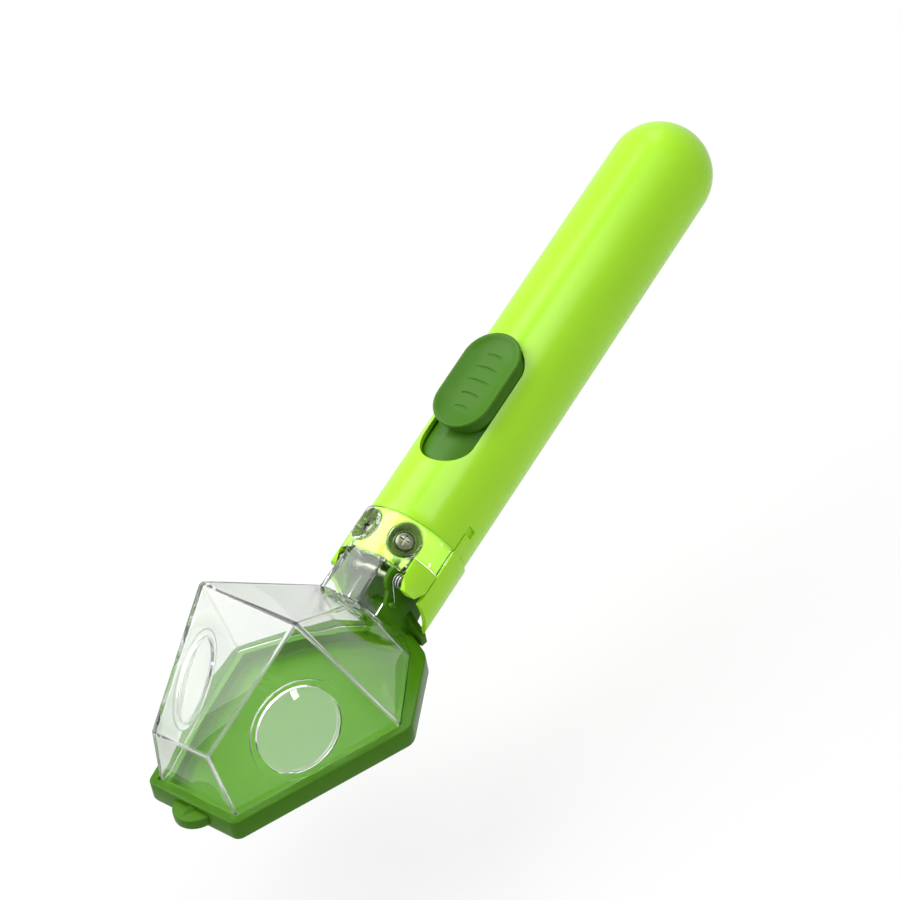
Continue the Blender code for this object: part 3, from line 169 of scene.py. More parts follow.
# Faceted chamber, corners on the right side
CHAMBER_WALL = 1.5 * MM
NOSE = Vector((14.44 * MM, -88.32 * MM, 0))
NOSE_TOP_Y = -89.45 * MM
NOSE_TOP_Z = 21.13 * MM
CREST = Vector((17.81 * MM, -54.35 * MM, 45.61 * MM))
SHOULDER = Vector((31.38 * MM, -37.22 * MM, 0))
HAUNCH = Vector((15.5 * MM, -14.1 * MM, 0))
THROAT = Vector((7.3 * MM, -8.6 * MM, 0))
THROAT_TOP_Y = -21.87 * MM
THROAT_TOP_Z = 23.71 * MM
CHAMBER_EDGE = 0.9 * MM
HOLLOW_EDGE = 0.4 * MM
HOLLOW_EDGE_ANGLE = math.radians(10.0)

# Neck hood
NECK_TOP = 16.5 * MM
NECK_FOOT = 5.0 * MM
NECK_REAR = -2.1 * MM
NECK_FRONT_HALF_WIDTH = 7.25 * MM
NECK_REAR_HALF_WIDTH = 6.4 * MM
NECK_WALL = 1.5 * MM
NECK_EDGE = 0.6 * MM

# Lenses
LENS_Y = -64.1 * MM
LENS_Z = 15.42 * MM
LENS_RADIUS = 12.6 * MM
LENS_EDGE = 1.2 * MM
LENS_CROWN = 1.7 * MM
LENS_LEDGE = 0.6 * MM
LENS_SEAT_DEPTH = 0.7 * MM
BEZEL_RADIUS = 14.75 * MM
BEZEL_HEIGHT = 0.8 * MM
BEZEL_EDGE = 0.35 * MM
LENS_RIM_EDGE = 0.12 * MM
LENS_RINGS = 14

# Tray
TRAY_MARGIN = 2.7 * MM
TRAY_CHAMFER = 1.3 * MM
TRAY_CORNER = 4.0 * MM
TRAY_LIP = 0.6 * MM
TRAY_LIP_EDGE = 0.45 * MM
TRAY_CORNER_STEPS = 6
TAIL_CORNERS = ((2, 1), (5, -1))  # place in the outline, side
TAIL_CORNER_REACH_X = 1.4 * MM
TAIL_CORNER_REACH_Y = 0.7 * MM
TRAY_FLOOR = 2.0 * MM
TRAY_LEDGE = 3.0 * MM
FLOOR_CORNER = 1.5 * MM
FLOOR_EDGE = 0.8 * MM
FLOOR_STEPS = 4
FLOOR_CROWN = 1.9 * MM
FLOOR_CROWN_INSET = 3.0 * MM
FLOOR_RIDGE_FRONT = -66.0 * MM
FLOOR_RIDGE_REAR = -36.0 * MM
TAB_RADIUS = 6.5 * MM
TAB_REACH = 5.0 * MM
TAB_THICKNESS = 3.2 * MM
TAB_DROP = 1.2 * MM
TAB_CREASE_HALF_WIDTH = 2.4 * MM
TAB_CREASE_HEIGHT = 1.6 * MM
TAB_EDGE = 0.5 * MM
TAIL_WALL_FRONT = -6.6 * MM
TAIL_WALL_REAR = -4.2 * MM
TAIL_WALL_TOP = 7.0 * MM
TAIL_TOP_HALF_WIDTH = 8.5 * MM
TAIL_FOOT_HALF_WIDTH = 12.6 * MM
TAIL_WALL_EDGE = 0.35 * MM

# Hinge, arms and spring
HINGE_Y = -4.4 * MM
HINGE_Z = 8.8 * MM
HINGE_PIN_RADIUS = 1.5 * MM
HINGE_PIN_HALF_LENGTH = 12.3 * MM
PIN_SOCKET_X = 12.6 * MM
PIN_EDGE = 0.25 * MM
KNUCKLE_RADIUS = 4.0 * MM
ARM_INNER_X = 7.2 * MM
ARM_OUTER_X = 8.4 * MM
ARM_HUB_RADIUS = 2.2 * MM
ARM_LOBE_RADIUS = 2.4 * MM
ARM_FOOT_FRONT = -7.6 * MM
ARM_FOOT_REAR = -4.2 * MM
ARM_FOOT_Z = 0.2 * MM
ARM_HEEL_Y = 2.0 * MM
ARM_HEEL_Z = -8.6 * MM
DRIVE_PIN_RADIUS = 1.2 * MM
DRIVE_ARM = 12.0 * MM
DRIVE_ANGLE = math.radians(-60.0)
WIRE_RADIUS = 0.225 * MM
SPRING_OUTER_X = 11.2 * MM
SPRING_FIXED_ANGLE = math.radians(-12.0)
SPRING_FREE_ANGLE = math.radians(150.0)
SPRING_WHOLE_TURNS = 2
POINTS_PER_TURN = 40
FIXED_LEG = 5.0 * MM
FREE_LEG = 8.2 * MM
LUG_ALONG_LEG = 6.4 * MM
LUG_RADIUS = 0.9 * MM
LUG_OUTER_X = 10.2 * MM
LUG_PAD_RADIUS = 1.5 * MM

# Slider
BUTTON_FRONT = 41.6 * MM
BUTTON_REAR = 73.0 * MM
STEM_HALF_WIDTH = 8.6 * MM
STEM_FOOT = 11.2 * MM
TRAVEL = 10.5 * MM
STOP_CLEARANCE = 0.6 * MM
GRIP_PITCH = 4.6 * MM
GRIP_HALF_WIDTHS = (2.2 * MM, 2.9 * MM, 4.1 * MM, 3.9 * MM, 2.4 * MM)
GRIP_BOW = 0.35 * MM
GRIP_RADIUS = 0.38 * MM
GRIP_STEPS = 12
PLATE_WALL = 1.5 * MM
CARRIAGE_EDGE = 0.2 * MM

# Sizes that follow from the sizes above
SLOT_HALF_WIDTH = STEM_HALF_WIDTH + GAP
SLOT_FRONT = BUTTON_FRONT - TRAVEL - STOP_CLEARANCE
SLOT_REAR = BUTTON_REAR + STOP_CLEARANCE
SADDLE_BORE = SADDLE_RADIUS - SADDLE_WALL
COLLAR_RADIUS = SADDLE_BORE - GAP
COLLAR_BORE = COLLAR_RADIUS - COLLAR_WALL
TUBE_BORE = TUBE_RADIUS - TUBE_WALL
SPIGOT_RADIUS = TUBE_BORE - GAP
PLATE_RADIUS = TUBE_BORE - GAP
PLATE_BORE = PLATE_RADIUS - PLATE_WALL
BAND_REAR = TUBE_FRONT - GAP
WELL_CUP_RADIUS = WELL_MOUTH_RADIUS + WELL_MOUTH_WALL
WELL_CUP_FLOOR_RADIUS = WELL_FLOOR_RADIUS + WELL_FOOT_WALL
WELL_CUP_FLOOR = WELL_FLOOR - WELL_FLOOR_WALL
SPRING_RADIUS = HINGE_PIN_RADIUS + GAP + WIRE_RADIUS
SPRING_INNER_X = ARM_OUTER_X + GAP + WIRE_RADIUS
HINGE = (HINGE_Y, HINGE_Z)
DRIVE_POINT = (HINGE_Y + DRIVE_ARM * math.cos(DRIVE_ANGLE),
               HINGE_Z + DRIVE_ARM * math.sin(DRIVE_ANGLE))
SIDES = (("right", 1), ("left", -1))


# Selecting and editing

def let_go():
    """Leave edit mode and deselect everything."""
    if bpy.context.object and bpy.context.object.mode != "OBJECT":
        bpy.ops.object.mode_set(mode="OBJECT")
    bpy.ops.object.select_all(action="DESELECT")


def choose(piece):
    """Make one piece selected and active."""
    let_go()
    piece.select_set(True)
    bpy.context.view_layer.objects.active = piece


def take_all():
    """Select the whole of the open piece."""
    bpy.ops.mesh.select_all(action="SELECT")


def open_up(piece):
    """Enter edit mode with the whole piece selected."""
    choose(piece)
    bpy.ops.object.mode_set(mode="EDIT")
    bpy.ops.mesh.select_mode(type="VERT")
    take_all()


def pick(piece, kind, test):
    """Select the vertices, edges or faces of the open piece that pass a test."""
    modes = {"verts": "VERT", "edges": "EDGE", "faces": "FACE"}
    bpy.ops.mesh.select_all(action="DESELECT")
    bpy.ops.mesh.select_mode(type=modes[kind])
    shape = bmesh.from_edit_mesh(piece.data)
    for item in getattr(shape, kind):
        if test(item):
            item.select_set(True)
    bmesh.update_edit_mesh(piece.data)


def put(piece, matrix):
    """Carry a piece into place and keep its object at the origin."""
    choose(piece)
    piece.matrix_world = matrix
    bpy.ops.object.transform_apply(location=True, rotation=True, scale=True)
    return piece


def along(origin, direction):
    """The place where the y axis stands on a direction at an origin."""
    turn = Vector(direction).to_track_quat("Y", "Z").to_matrix().to_4x4()
    return Matrix.Translation(origin) @ turn


# Basic shapes

def traced(name, points):
    """One vertex extruded from point to point. The piece stays open."""
    let_go()
    bpy.ops.mesh.primitive_plane_add(size=MM)
    piece = bpy.context.object
    piece.name = name
    piece.data.name = name
    open_up(put(piece, Matrix.Translation(points[0])))
    bpy.ops.mesh.merge(type="CENTER")
    for before, here in zip(points, points[1:]):
        step = Vector(here) - Vector(before)
        bpy.ops.mesh.extrude_vertices_move(TRANSFORM_OT_translate={"value": step})
    return piece


def raise_face(step):
    """Extrude the selected face by a step."""
    bpy.ops.mesh.extrude_region_move(TRANSFORM_OT_translate={"value": step})


def tidy_faces():
    """Weld the open piece and turn its faces outward."""
    take_all()
    bpy.ops.mesh.remove_doubles(threshold=WELD)
    bpy.ops.mesh.normals_make_consistent(inside=False)


def wrapped(name, points):
    """The convex solid over a set of points, with its flat faces whole."""
    piece = traced(name, points)
    take_all()
    bpy.ops.mesh.convex_hull()
    take_all()
    bpy.ops.mesh.dissolve_limited(angle_limit=FLAT_ANGLE)
    tidy_faces()
    let_go()
    return piece


SLAB_POINTS = {
    "X": lambda place, height: Vector((height, place[0], place[1])),
    "Y": lambda place, height: Vector((place[0], height, place[1])),
    "Z": lambda place, height: Vector((place[0], place[1], height)),
}


def slab(name, outline, axis, low, high):
    """A flat outline, filled and extruded from low to high along an axis."""
    at = SLAB_POINTS[axis]
    piece = traced(name, [at(place, low) for place in outline])
    take_all()
    bpy.ops.mesh.edge_face_add()
    raise_face(at((0, 0), high - low))
    tidy_faces()
    let_go()
    return piece


def block(name, low, high):
    """A box between two opposite corners."""
    low, high = Vector(low), Vector(high)
    outline = [(low.x, low.y), (high.x, low.y), (high.x, high.y), (low.x, high.y)]
    return slab(name, outline, "Z", low.z, high.z)


def lathed(name, profile, steps=ROUND_STEPS, closed=False, sweep=2 * math.pi):
    """A profile of (radius, height) points, spun round the y axis."""
    piece = traced(name, [(0 if radius < WELD else radius, height, 0)
                          for radius, height in profile])
    if closed:
        ends = (0, len(profile) - 1)
        pick(piece, "verts", lambda vert: vert.index in ends)
        bpy.ops.mesh.edge_face_add()
    take_all()
    bpy.ops.mesh.spin(steps=steps, angle=sweep, center=(0, 0, 0), axis=(0, 1, 0))
    take_all()
    bpy.ops.mesh.remove_doubles(threshold=WELD)
    bpy.ops.mesh.fill_holes(sides=0)
    tidy_faces()
    let_go()
    return piece


def cone(name, start, end, wide, narrow, steps=SMALL_STEPS):
    """A cone frustum between two points."""
    run = Vector(end) - Vector(start)
    piece = lathed(name, [(0, 0), (wide, 0), (narrow, run.length), (0, run.length)], steps)
    return put(piece, along(start, run))


def rod(name, start, end, radius):
    """A pin with chamfered ends between two points."""
    run = Vector(end) - Vector(start)
    profile = [(0, 0), (radius - PIN_EDGE, 0), (radius, PIN_EDGE),
               (radius, run.length - PIN_EDGE), (radius - PIN_EDGE, run.length), (0, run.length)]
    return put(lathed(name, profile, SMALL_STEPS), along(start, run))


def band(name, inner, outer, start, end, low, high):
    """A ring sector along y with eased rims, its angles from the top towards +x."""
    edge = SOFT_EDGE
    profile = [(inner + edge, low), (outer - edge, low), (outer, low + edge),
               (outer, high - edge), (outer - edge, high), (inner + edge, high),
               (inner, high - edge), (inner, low + edge)]
    steps = max(LEAST_STEPS, math.ceil(abs(end - start) / ARC_STEP))
    piece = lathed(name, profile, steps, closed=True, sweep=end - start)
    return put(piece, Matrix.Rotation(end - BAND_TURN, 4, "Y"))


def wire(name, points, radius):
    """A round wire through points."""
    piece = traced(name, points)
    choose(piece)
    bpy.ops.object.convert(target="CURVE")
    piece = bpy.context.object
    piece.data.bevel_depth = radius
    piece.data.bevel_resolution = WIRE_RINGS
    piece.data.use_fill_caps = True
    bpy.ops.object.convert(target="MESH")
    piece = bpy.context.object
    open_up(piece)
    tidy_faces()
    let_go()
    return piece


# Outlines

def arc(centre, radius, start, end, step=ARC_STEP):
    """Points of a circle from one angle to another, both ends included."""
    count = max(2, math.ceil(abs(end - start) / step))
    angles = [start + (end - start) * i / count for i in range(count + 1)]
    return [(centre[0] + radius * math.cos(a), centre[1] + radius * math.sin(a)) for a in angles]


def offset_outline(corners, distance):
    """A convex outline, counter-clockwise, moved outward by a distance."""
    moved = []
    count = len(corners)
    for i in range(count):
        before, here, after = (Vector(corners[j % count]) for j in (i - 1, i, i + 1))
        first = (here - before).normalized()
        second = (after - here).normalized()
        out = Vector((first.y + second.y, -first.x - second.x))
        moved.append(tuple(here + out * distance / (1 + first.dot(second))))
    return moved


def obround(half_width, front, rear):
    """A slot outline along y with round ends, counter-clockwise."""
    rear_end = arc((0, rear - half_width), half_width, 0, math.pi)
    front_end = arc((0, front + half_width), half_width, math.pi, 2 * math.pi)
    return rear_end + front_end


def span(side, inner, outer):
    """The low and high x or angle of a stretch on one side, which is 1 or -1."""
    return sorted((side * inner, side * outer))


def on_side(point, side):
    """A point of the right side, or its mirror image."""
    return Vector((side * point.x, point.y, point.z))


def lifted(outline, z):
    """A flat outline set at a height."""
    return [(x, y, z) for x, y in outline]


def base_outline():
    """The chamber's bottom outline, counter-clockwise."""
    right = [(corner.x, corner.y) for corner in (NOSE, SHOULDER, HAUNCH, THROAT)]
    return right + [(-x, y) for x, y in reversed(right)]


# Modifiers

def combined(piece, tools, operation):
    """Apply a Boolean with each tool, which is used up."""
    for tool in tools:
        choose(piece)
        modifier = piece.modifiers.new(tool.name, "BOOLEAN")
        modifier.operation = operation
        modifier.solver = "EXACT"
        modifier.object = tool
        bpy.ops.object.modifier_apply(modifier=modifier.name)
        bpy.data.objects.remove(tool, do_unlink=True)
    return piece


def join(piece, *tools):
    """Unite a piece with others."""
    return combined(piece, tools, "UNION")


def cut(piece, *tools):
    """Cut others out of a piece."""
    return combined(piece, tools, "DIFFERENCE")


def trim(piece, tool):
    """Keep what a piece shares with another."""
    return combined(piece, [tool], "INTERSECT")


def eased(piece, width, segments=3, angle=EDGE_ANGLE, rim=-1):
    """Round the sharp edges of a piece. The rim is the new faces' material slot."""
    choose(piece)
    modifier = piece.modifiers.new("Ease", "BEVEL")
    modifier.width = width
    modifier.segments = segments
    modifier.limit_method = "ANGLE"
    modifier.angle_limit = angle
    modifier.use_clamp_overlap = True
    modifier.material = rim
    bpy.ops.object.modifier_apply(modifier=modifier.name)
    return piece


def rounded(piece, test, offset, segments):
    """Bevel the edges of the open piece that pass a test."""
    pick(piece, "edges", test)
    bpy.ops.mesh.bevel(offset=offset, segments=segments, affect="EDGES")


def upright(edge):
    """Whether an edge stands up from the outline."""
    return abs(edge.verts[0].co.z - edge.verts[1].co.z) > MM


def level(z):
    """A test for edges that lie at a height."""
    return lambda edge: all(abs(vert.co.z - z) < WELD for vert in edge.verts)


def cleaned(piece, distance):
    """Merge the slivers that a cut leaves."""
    open_up(piece)
    bpy.ops.mesh.remove_doubles(threshold=distance)
    bpy.ops.mesh.dissolve_degenerate(threshold=distance)
    let_go()


def finished(piece, material, body, nodes, crease=CREASE_ANGLE):
    """Shade a piece, give it its material and let it ride on its body."""
    choose(piece)
    bpy.ops.object.shade_smooth_by_angle(angle=crease)
    if not piece.data.materials or piece.data.materials[0] is None:
        piece.data.materials.clear()
        piece.data.materials.append(bpy.data.materials[material])
    if body:
        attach(piece, body)
    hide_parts(*nodes)
    let_go()


# Materials

SKIN_INPUTS = (("Grain Scale", 2600.0), ("Cloud Scale", 45.0), ("Roughness", 0.3),
               ("Spread", 0.08))
CLOUD_MIDDLE = 0.5
PLASTIC_IOR = 1.5
CLEAR_IOR = 1.47
CLEAR_MIRROR = 0.6
SHADOW_LET_THROUGH = 0.88
# The rim material's pale grey tone on the clear moulding's rounded edges is a painted highlight.
RIM_CLEARNESS = 0.9
# The well material's dark tone on the screw wells' walls is painted shade.
WELL_CLEARNESS = 0.5
# The lens's milky white share, which lets less light through, is a painted reflection.
LENS_CLEARNESS = 0.88
CLEAR_SLOTS = ("clear_gloss", "clear_rim", "clear_well")
RIM_HIGHLIGHT_SLOT = CLEAR_SLOTS.index("clear_rim")
WELL_SHADE_SLOT = CLEAR_SLOTS.index("clear_well")
STEEL_CLOUD_SCALE = 420.0
STEEL_DEEP_TONE = 0.72


def shader_node(tree, kind, **values):
    """A node with its named inputs or settings filled in."""
    made = tree.nodes.new(kind)
    for key, value in values.items():
        if key in made.inputs:
            made.inputs[key].default_value = value
        else:
            setattr(made, key, value)
    return made


def fill(node, values):
    """Set inputs of a node by name or number."""
    for key, value in values.items():
        node.inputs[key].default_value = value


def wire_up(tree, *wires):
    """Link nodes, each wire an output's node and name and an input's node and name."""
    for source, output, target, given in wires:
        tree.links.new(source.outputs[output], target.inputs[given])


def skin_group():
    """Colour cloud, roughness and grain of a surface."""
    group = bpy.data.node_groups.new("moulded_skin", "ShaderNodeTree")
    sockets = group.interface
    sockets.new_socket("Vector", in_out="INPUT", socket_type="NodeSocketVector")
    for name, value in SKIN_INPUTS:
        made = sockets.new_socket(name, in_out="INPUT", socket_type="NodeSocketFloat")
        made.default_value = value
    for name in ("Tone", "Roughness", "Height"):
        sockets.new_socket(name, in_out="OUTPUT", socket_type="NodeSocketFloat")
    given = group.nodes.new("NodeGroupInput")
    result = group.nodes.new("NodeGroupOutput")
    grain = shader_node(group, "ShaderNodeTexNoise", Detail=3.0, Roughness=0.6)
    cloud = shader_node(group, "ShaderNodeTexNoise", Detail=4.0, Roughness=0.55)
    centred = shader_node(group, "ShaderNodeMath", operation="SUBTRACT")
    centred.inputs[1].default_value = CLOUD_MIDDLE
    spread = shader_node(group, "ShaderNodeMath", operation="MULTIPLY_ADD", use_clamp=True)
    wire_up(group,
            (given, "Vector", grain, "Vector"), (given, "Vector", cloud, "Vector"),
            (given, "Grain Scale", grain, "Scale"), (given, "Cloud Scale", cloud, "Scale"),
            (cloud, "Fac", centred, 0), (centred, 0, spread, 0),
            (given, "Spread", spread, 1), (given, "Roughness", spread, 2),
            (cloud, "Fac", result, "Tone"), (spread, 0, result, "Roughness"),
            (grain, "Fac", result, "Height"))


def new_material(name, roughness, spread, grain, depth):
    """A Principled material in object coordinates, with its skin filled in."""
    made = bpy.data.materials.new(name)
    made.use_nodes = True
    tree = made.node_tree
    shader = tree.nodes["Principled BSDF"]
    place = tree.nodes.new("ShaderNodeTexCoord")
    skin = tree.nodes.new("ShaderNodeGroup")
    skin.node_tree = bpy.data.node_groups["moulded_skin"]
    fill(skin, {"Roughness": roughness, "Spread": spread, "Grain Scale": grain})
    bump = shader_node(tree, "ShaderNodeBump", Strength=1.0, Distance=depth)
    wire_up(tree,
            (place, "Object", skin, "Vector"), (skin, "Roughness", shader, "Roughness"),
            (skin, "Height", bump, "Height"), (bump, "Normal", shader, "Normal"))
    return tree, shader, skin


def tone(tree, skin, shader, deep, bright):
    """A base colour that wanders between a deeper and a brighter tone."""
    tones = shader_node(tree, "ShaderNodeMix", data_type="RGBA", A=(*deep, 1.0),
                        B=(*bright, 1.0))
    wire_up(tree, (skin, "Tone", tones, "Factor"), (tones, "Result", shader, "Base Color"))


def plastic_material(name, colour, shade, roughness, spread, grain, depth, gloss):
    """A coloured moulding with a soft cloud of tone and a fine skin."""
    tree, shader, skin = new_material(name, roughness, spread, grain, depth)
    tone(tree, skin, shader, shade, colour)
    fill(shader, {"IOR": PLASTIC_IOR, "Specular IOR Level": gloss})


def clear_material(name, tint, transmission=1.0, mirror=1.0):
    """A polished clear moulding that lets the lamps through."""
    tree, shader, _ = new_material(name, roughness=0.015, spread=0.03, grain=220.0,
                                   depth=0.004 * MM)
    fill(shader, {"Base Color": (*tint, 1.0), "Transmission Weight": transmission,
                  "IOR": CLEAR_IOR, "Specular Tint": (mirror, mirror, mirror, 1.0)})
    path = tree.nodes.new("ShaderNodeLightPath")
    through = shader_node(tree, "ShaderNodeMath", operation="MULTIPLY_ADD")
    fill(through, {1: -SHADOW_LET_THROUGH, 2: 1.0})
    wire_up(tree, (path, "Is Shadow Ray", through, 0), (through, 0, shader, "Alpha"))


def steel_material(name, colour, roughness):
    """Plated steel with fine turning marks."""
    tree, shader, skin = new_material(name, roughness, spread=0.25, grain=3200.0,
                                      depth=0.003 * MM)
    fill(skin, {"Cloud Scale": STEEL_CLOUD_SCALE})
    tone(tree, skin, shader, [value * STEEL_DEEP_TONE for value in colour], colour)
    fill(shader, {"Metallic": 1.0})


def make_materials(colours):
    """All materials of the catcher, in the chosen colours."""
    skin_group()
    plastic_material("lime_gloss", colours.lime, colours.lime_shade, roughness=0.24,
                     spread=0.1, grain=1500.0, depth=0.004 * MM, gloss=0.3)
    plastic_material("slider_satin", colours.slider, colours.slider_shade, roughness=0.38,
                     spread=0.12, grain=5200.0, depth=0.012 * MM, gloss=0.17)
    plastic_material("tray_satin", colours.tray, colours.tray_shade, roughness=0.26,
                     spread=0.1, grain=3600.0, depth=0.008 * MM, gloss=0.12)
    clear_material("clear_gloss", colours.clear, mirror=CLEAR_MIRROR)
    clear_material("clear_well", colours.well, WELL_CLEARNESS)
    clear_material("clear_rim", colours.rim, RIM_CLEARNESS)
    # The lens material's milky white share is a painted reflection.
    clear_material("lens_gloss", colours.clear, LENS_CLEARNESS)
    steel_material("plated_steel", colours.steel, roughness=0.2)
    steel_material("screw_steel", colours.screw, roughness=0.26)
    steel_material("pin_steel", colours.screw, roughness=0.38)


# Handle

def make_handle(sizes):
    """The hollow grip: round tail, slider slot, rails and tongue pockets."""
    radius, bore = sizes.tube_radius, sizes.tube_radius - TUBE_WALL
    tail, front, edge = TUBE_TAIL_CENTRE, TUBE_FRONT, TUBE_EDGE
    outside = arc((0, tail), radius, math.pi / 2, 0)
    rings = math.floor((tail - front) / TUBE_RING_STEP)
    sides = [(radius, tail - (tail - front - edge) * i / rings) for i in range(1, rings)]
    mouth = arc((radius - edge, front + edge), edge, 0, -math.pi / 2, EDGE_STEP)
    inside = arc((0, tail), bore, 0, math.pi / 2, ARC_STEP * 2)
    handle = lathed("handle_grip", outside + sides + mouth + [(bore, front)] + inside)
    slot = obround(SLOT_HALF_WIDTH, SLOT_FRONT, SLOT_REAR)
    cut(handle, slab("slot", slot, "Z", 0, radius + OVERRUN))
    rail_top = PLATE_BORE * math.cos(RAIL_SEAT_ANGLE) - GAP
    for side in (-1, 1):
        edges = span(side, TONGUE_FROM - POCKET_MARGIN, TONGUE_TO + POCKET_MARGIN)
        cut(handle, band("pocket", radius - POCKET_DEPTH, SADDLE_RADIUS + OVERRUN, *edges,
                         front - OVERRUN, front + POCKET_LENGTH))
        low, high = span(side, RAIL_INNER_X, RAIL_OUTER_X)
        join(handle, block("rail", (low, RAIL_START, rail_top - RAIL_THICKNESS),
                           (high, RAIL_END, rail_top)))
    cleaned(handle, 2 * SLIVER)
    eased(handle, HANDLE_EDGE, angle=HANDLE_EDGE_ANGLE)
    put(handle, HANDLE)
    finished(handle, "lime_gloss", "handle_body", ["handle_tube"])


# Saddle parts

def radial(angle, radius):
    """A point on a spoke of the handle frame, through a screw well."""
    return Vector((radius * math.sin(angle), WELL_Y, radius * math.cos(angle)))


def spoke(name, angle, start, end, wide, narrow):
    """A cone along a spoke, from the outer radius inward."""
    return cone(name, radial(angle, start), radial(angle, end), wide, narrow)


def undercut():
    """The space below the neck that the tray's tail swings through."""
    return block("undercut", (-UNDERCUT_HALF_WIDTH, COVER_FRONT - OVERRUN,
                              -SADDLE_RADIUS - OVERRUN),
                 (UNDERCUT_HALF_WIDTH, UNDERCUT_REAR, UNDERCUT_TOP))


def ear_plate(side):
    """One hinge ear: a clipped plate trimmed to the saddle's round."""
    outline = [(EAR_REAR, EAR_FOOT), (EAR_REAR, EAR_TOP), (EAR_SHOULDER, EAR_TOP),
               (EAR_FRONT, EAR_TOP - EAR_CLIP), (EAR_FRONT, EAR_FOOT + EAR_CLIP),
               (EAR_SHOULDER, EAR_FOOT)]
    plate = slab("ear", outline, "X", *span(side, EAR_INNER_X, SADDLE_RADIUS + OVERRUN))
    trim(plate, cone("ear_round", (0, EAR_FRONT - OVERRUN, 0), (0, EAR_REAR + OVERRUN, 0),
                     SADDLE_RADIUS, SADDLE_RADIUS, ROUND_STEPS))
    return eased(plate, EAR_EDGE)


def make_collar():
    """The lime collar under the clear saddle, with its spigot, bosses and ears."""
    edge = SOFT_EDGE
    profile = [(COLLAR_RADIUS, BAND_REAR), (COLLAR_RADIUS, COLLAR_FRONT + edge),
               (COLLAR_RADIUS - edge, COLLAR_FRONT), (COLLAR_BORE, COLLAR_FRONT),
               (COLLAR_BORE, BAND_REAR)]
    collar = lathed("collar", profile, closed=True)
    opening = SPIGOT_HALF_OPENING
    join(collar, band("spigot", SPIGOT_RADIUS - SPIGOT_WALL, SPIGOT_RADIUS, opening,
                      2 * math.pi - opening, BAND_REAR - OVERRUN, TUBE_FRONT + SPIGOT_LENGTH))
    for side in (-1, 1):
        join(collar, spoke("boss", side * WELL_ANGLE, COLLAR_BORE, BOSS_END,
                           WELL_CUP_RADIUS + GAP + BOSS_MOUTH_WALL,
                           WELL_CUP_FLOOR_RADIUS + GAP + BOSS_WALL))
    cut(collar, undercut())
    for side in (-1, 1):
        join(collar, ear_plate(side))
        angle = side * WELL_ANGLE
        socket = HINGE_PIN_RADIUS + GAP
        low, high = span(side, NOTCH_INNER_X, NOTCH_OUTER_X)
        cut(collar,
            spoke("cup_pocket", angle, SADDLE_BORE, WELL_CUP_FLOOR - GAP,
                  WELL_CUP_RADIUS + GAP, WELL_CUP_FLOOR_RADIUS + GAP),
            spoke("screw_hole", angle, SADDLE_RADIUS, BOSS_END - OVERRUN,
                  SCREW_SHANK_RADIUS + GAP, SCREW_SHANK_RADIUS + GAP),
            cone("pin_socket", (side * (EAR_INNER_X - OVERRUN), *HINGE),
                 (side * PIN_SOCKET_X, *HINGE), socket, socket),
            block("knuckle_notch", (low, COLLAR_FRONT - OVERRUN, 0),
                  (high, NOTCH_REAR, SADDLE_RADIUS)),
            block("arm_relief", (low, COLLAR_FRONT - OVERRUN, 0),
                  (high, RELIEF_REAR, RELIEF_TOP)))
    put(collar, HANDLE)
    finished(collar, "lime_gloss", "handle_body", ["front_collar"])


def make_cover():
    """The lime half shell under the collar, with its two snap tongues."""
    edge = COVER_EDGE_ANGLE
    cover = band("cover", SADDLE_BORE, SADDLE_RADIUS, edge, 2 * math.pi - edge,
                 COVER_FRONT, BAND_REAR)
    cut(cover, undercut())
    top_z = SADDLE_RADIUS * math.cos(edge)
    slant = (COVER_FRONT - COVER_TOP_FRONT) / (COVER_TIP_Z - top_z)
    outline = [(COVER_TOP_FRONT + slant * OVERRUN, top_z + OVERRUN),
               (COVER_FRONT - OVERRUN, top_z + OVERRUN),
               (COVER_FRONT - OVERRUN, COVER_TIP_Z), (COVER_FRONT, COVER_TIP_Z)]
    cut(cover, slab("slant", outline, "X", -SADDLE_RADIUS - OVERRUN, SADDLE_RADIUS + OVERRUN))
    floor = TUBE_RADIUS - POCKET_DEPTH + GAP
    for side in (-1, 1):
        join(cover, band("tongue", floor, floor + TONGUE_HEIGHT,
                         *span(side, TONGUE_FROM, TONGUE_TO),
                         BAND_REAR - OVERRUN, TUBE_FRONT + TONGUE_LENGTH))
    cleaned(cover, SLIVER)
    eased(cover, SOFT_EDGE, 2)
    put(cover, HANDLE)
    finished(cover, "lime_gloss", "handle_body", ["lower_cover"])


# Clear moulding

def chamber_corners():
    """The right side's corners in the chamber frame, the lens's place and normal."""
    side_normal = (SHOULDER - NOSE).cross(CREST - NOSE).normalized()
    rear_normal = (HAUNCH - SHOULDER).cross(CREST - SHOULDER).normalized()

    def on_plane(y, z, normal, origin):
        x = origin.x - (normal.y * (y - origin.y) + normal.z * (z - origin.z)) / normal.x
        return Vector((x, y, z))

    nose_top = on_plane(NOSE_TOP_Y, NOSE_TOP_Z, side_normal, NOSE)
    throat_top = on_plane(THROAT_TOP_Y, THROAT_TOP_Z, rear_normal, SHOULDER)
    lens = on_plane(LENS_Y, LENS_Z, side_normal, NOSE)
    corners = [NOSE, nose_top, CREST, SHOULDER, HAUNCH, THROAT, throat_top]
    return corners, throat_top, lens, side_normal * math.copysign(1, side_normal.x)


def both_sides(points):
    """Points with their mirror images."""
    return list(points) + [on_side(point, -1) for point in points]


def clear_slots(piece):
    """Give a clear block its materials: clear faces, a painted highlight on its rounded edges and
    painted shade in its wells.
    """
    for name in CLEAR_SLOTS:
        piece.data.materials.append(bpy.data.materials[name])
    return piece


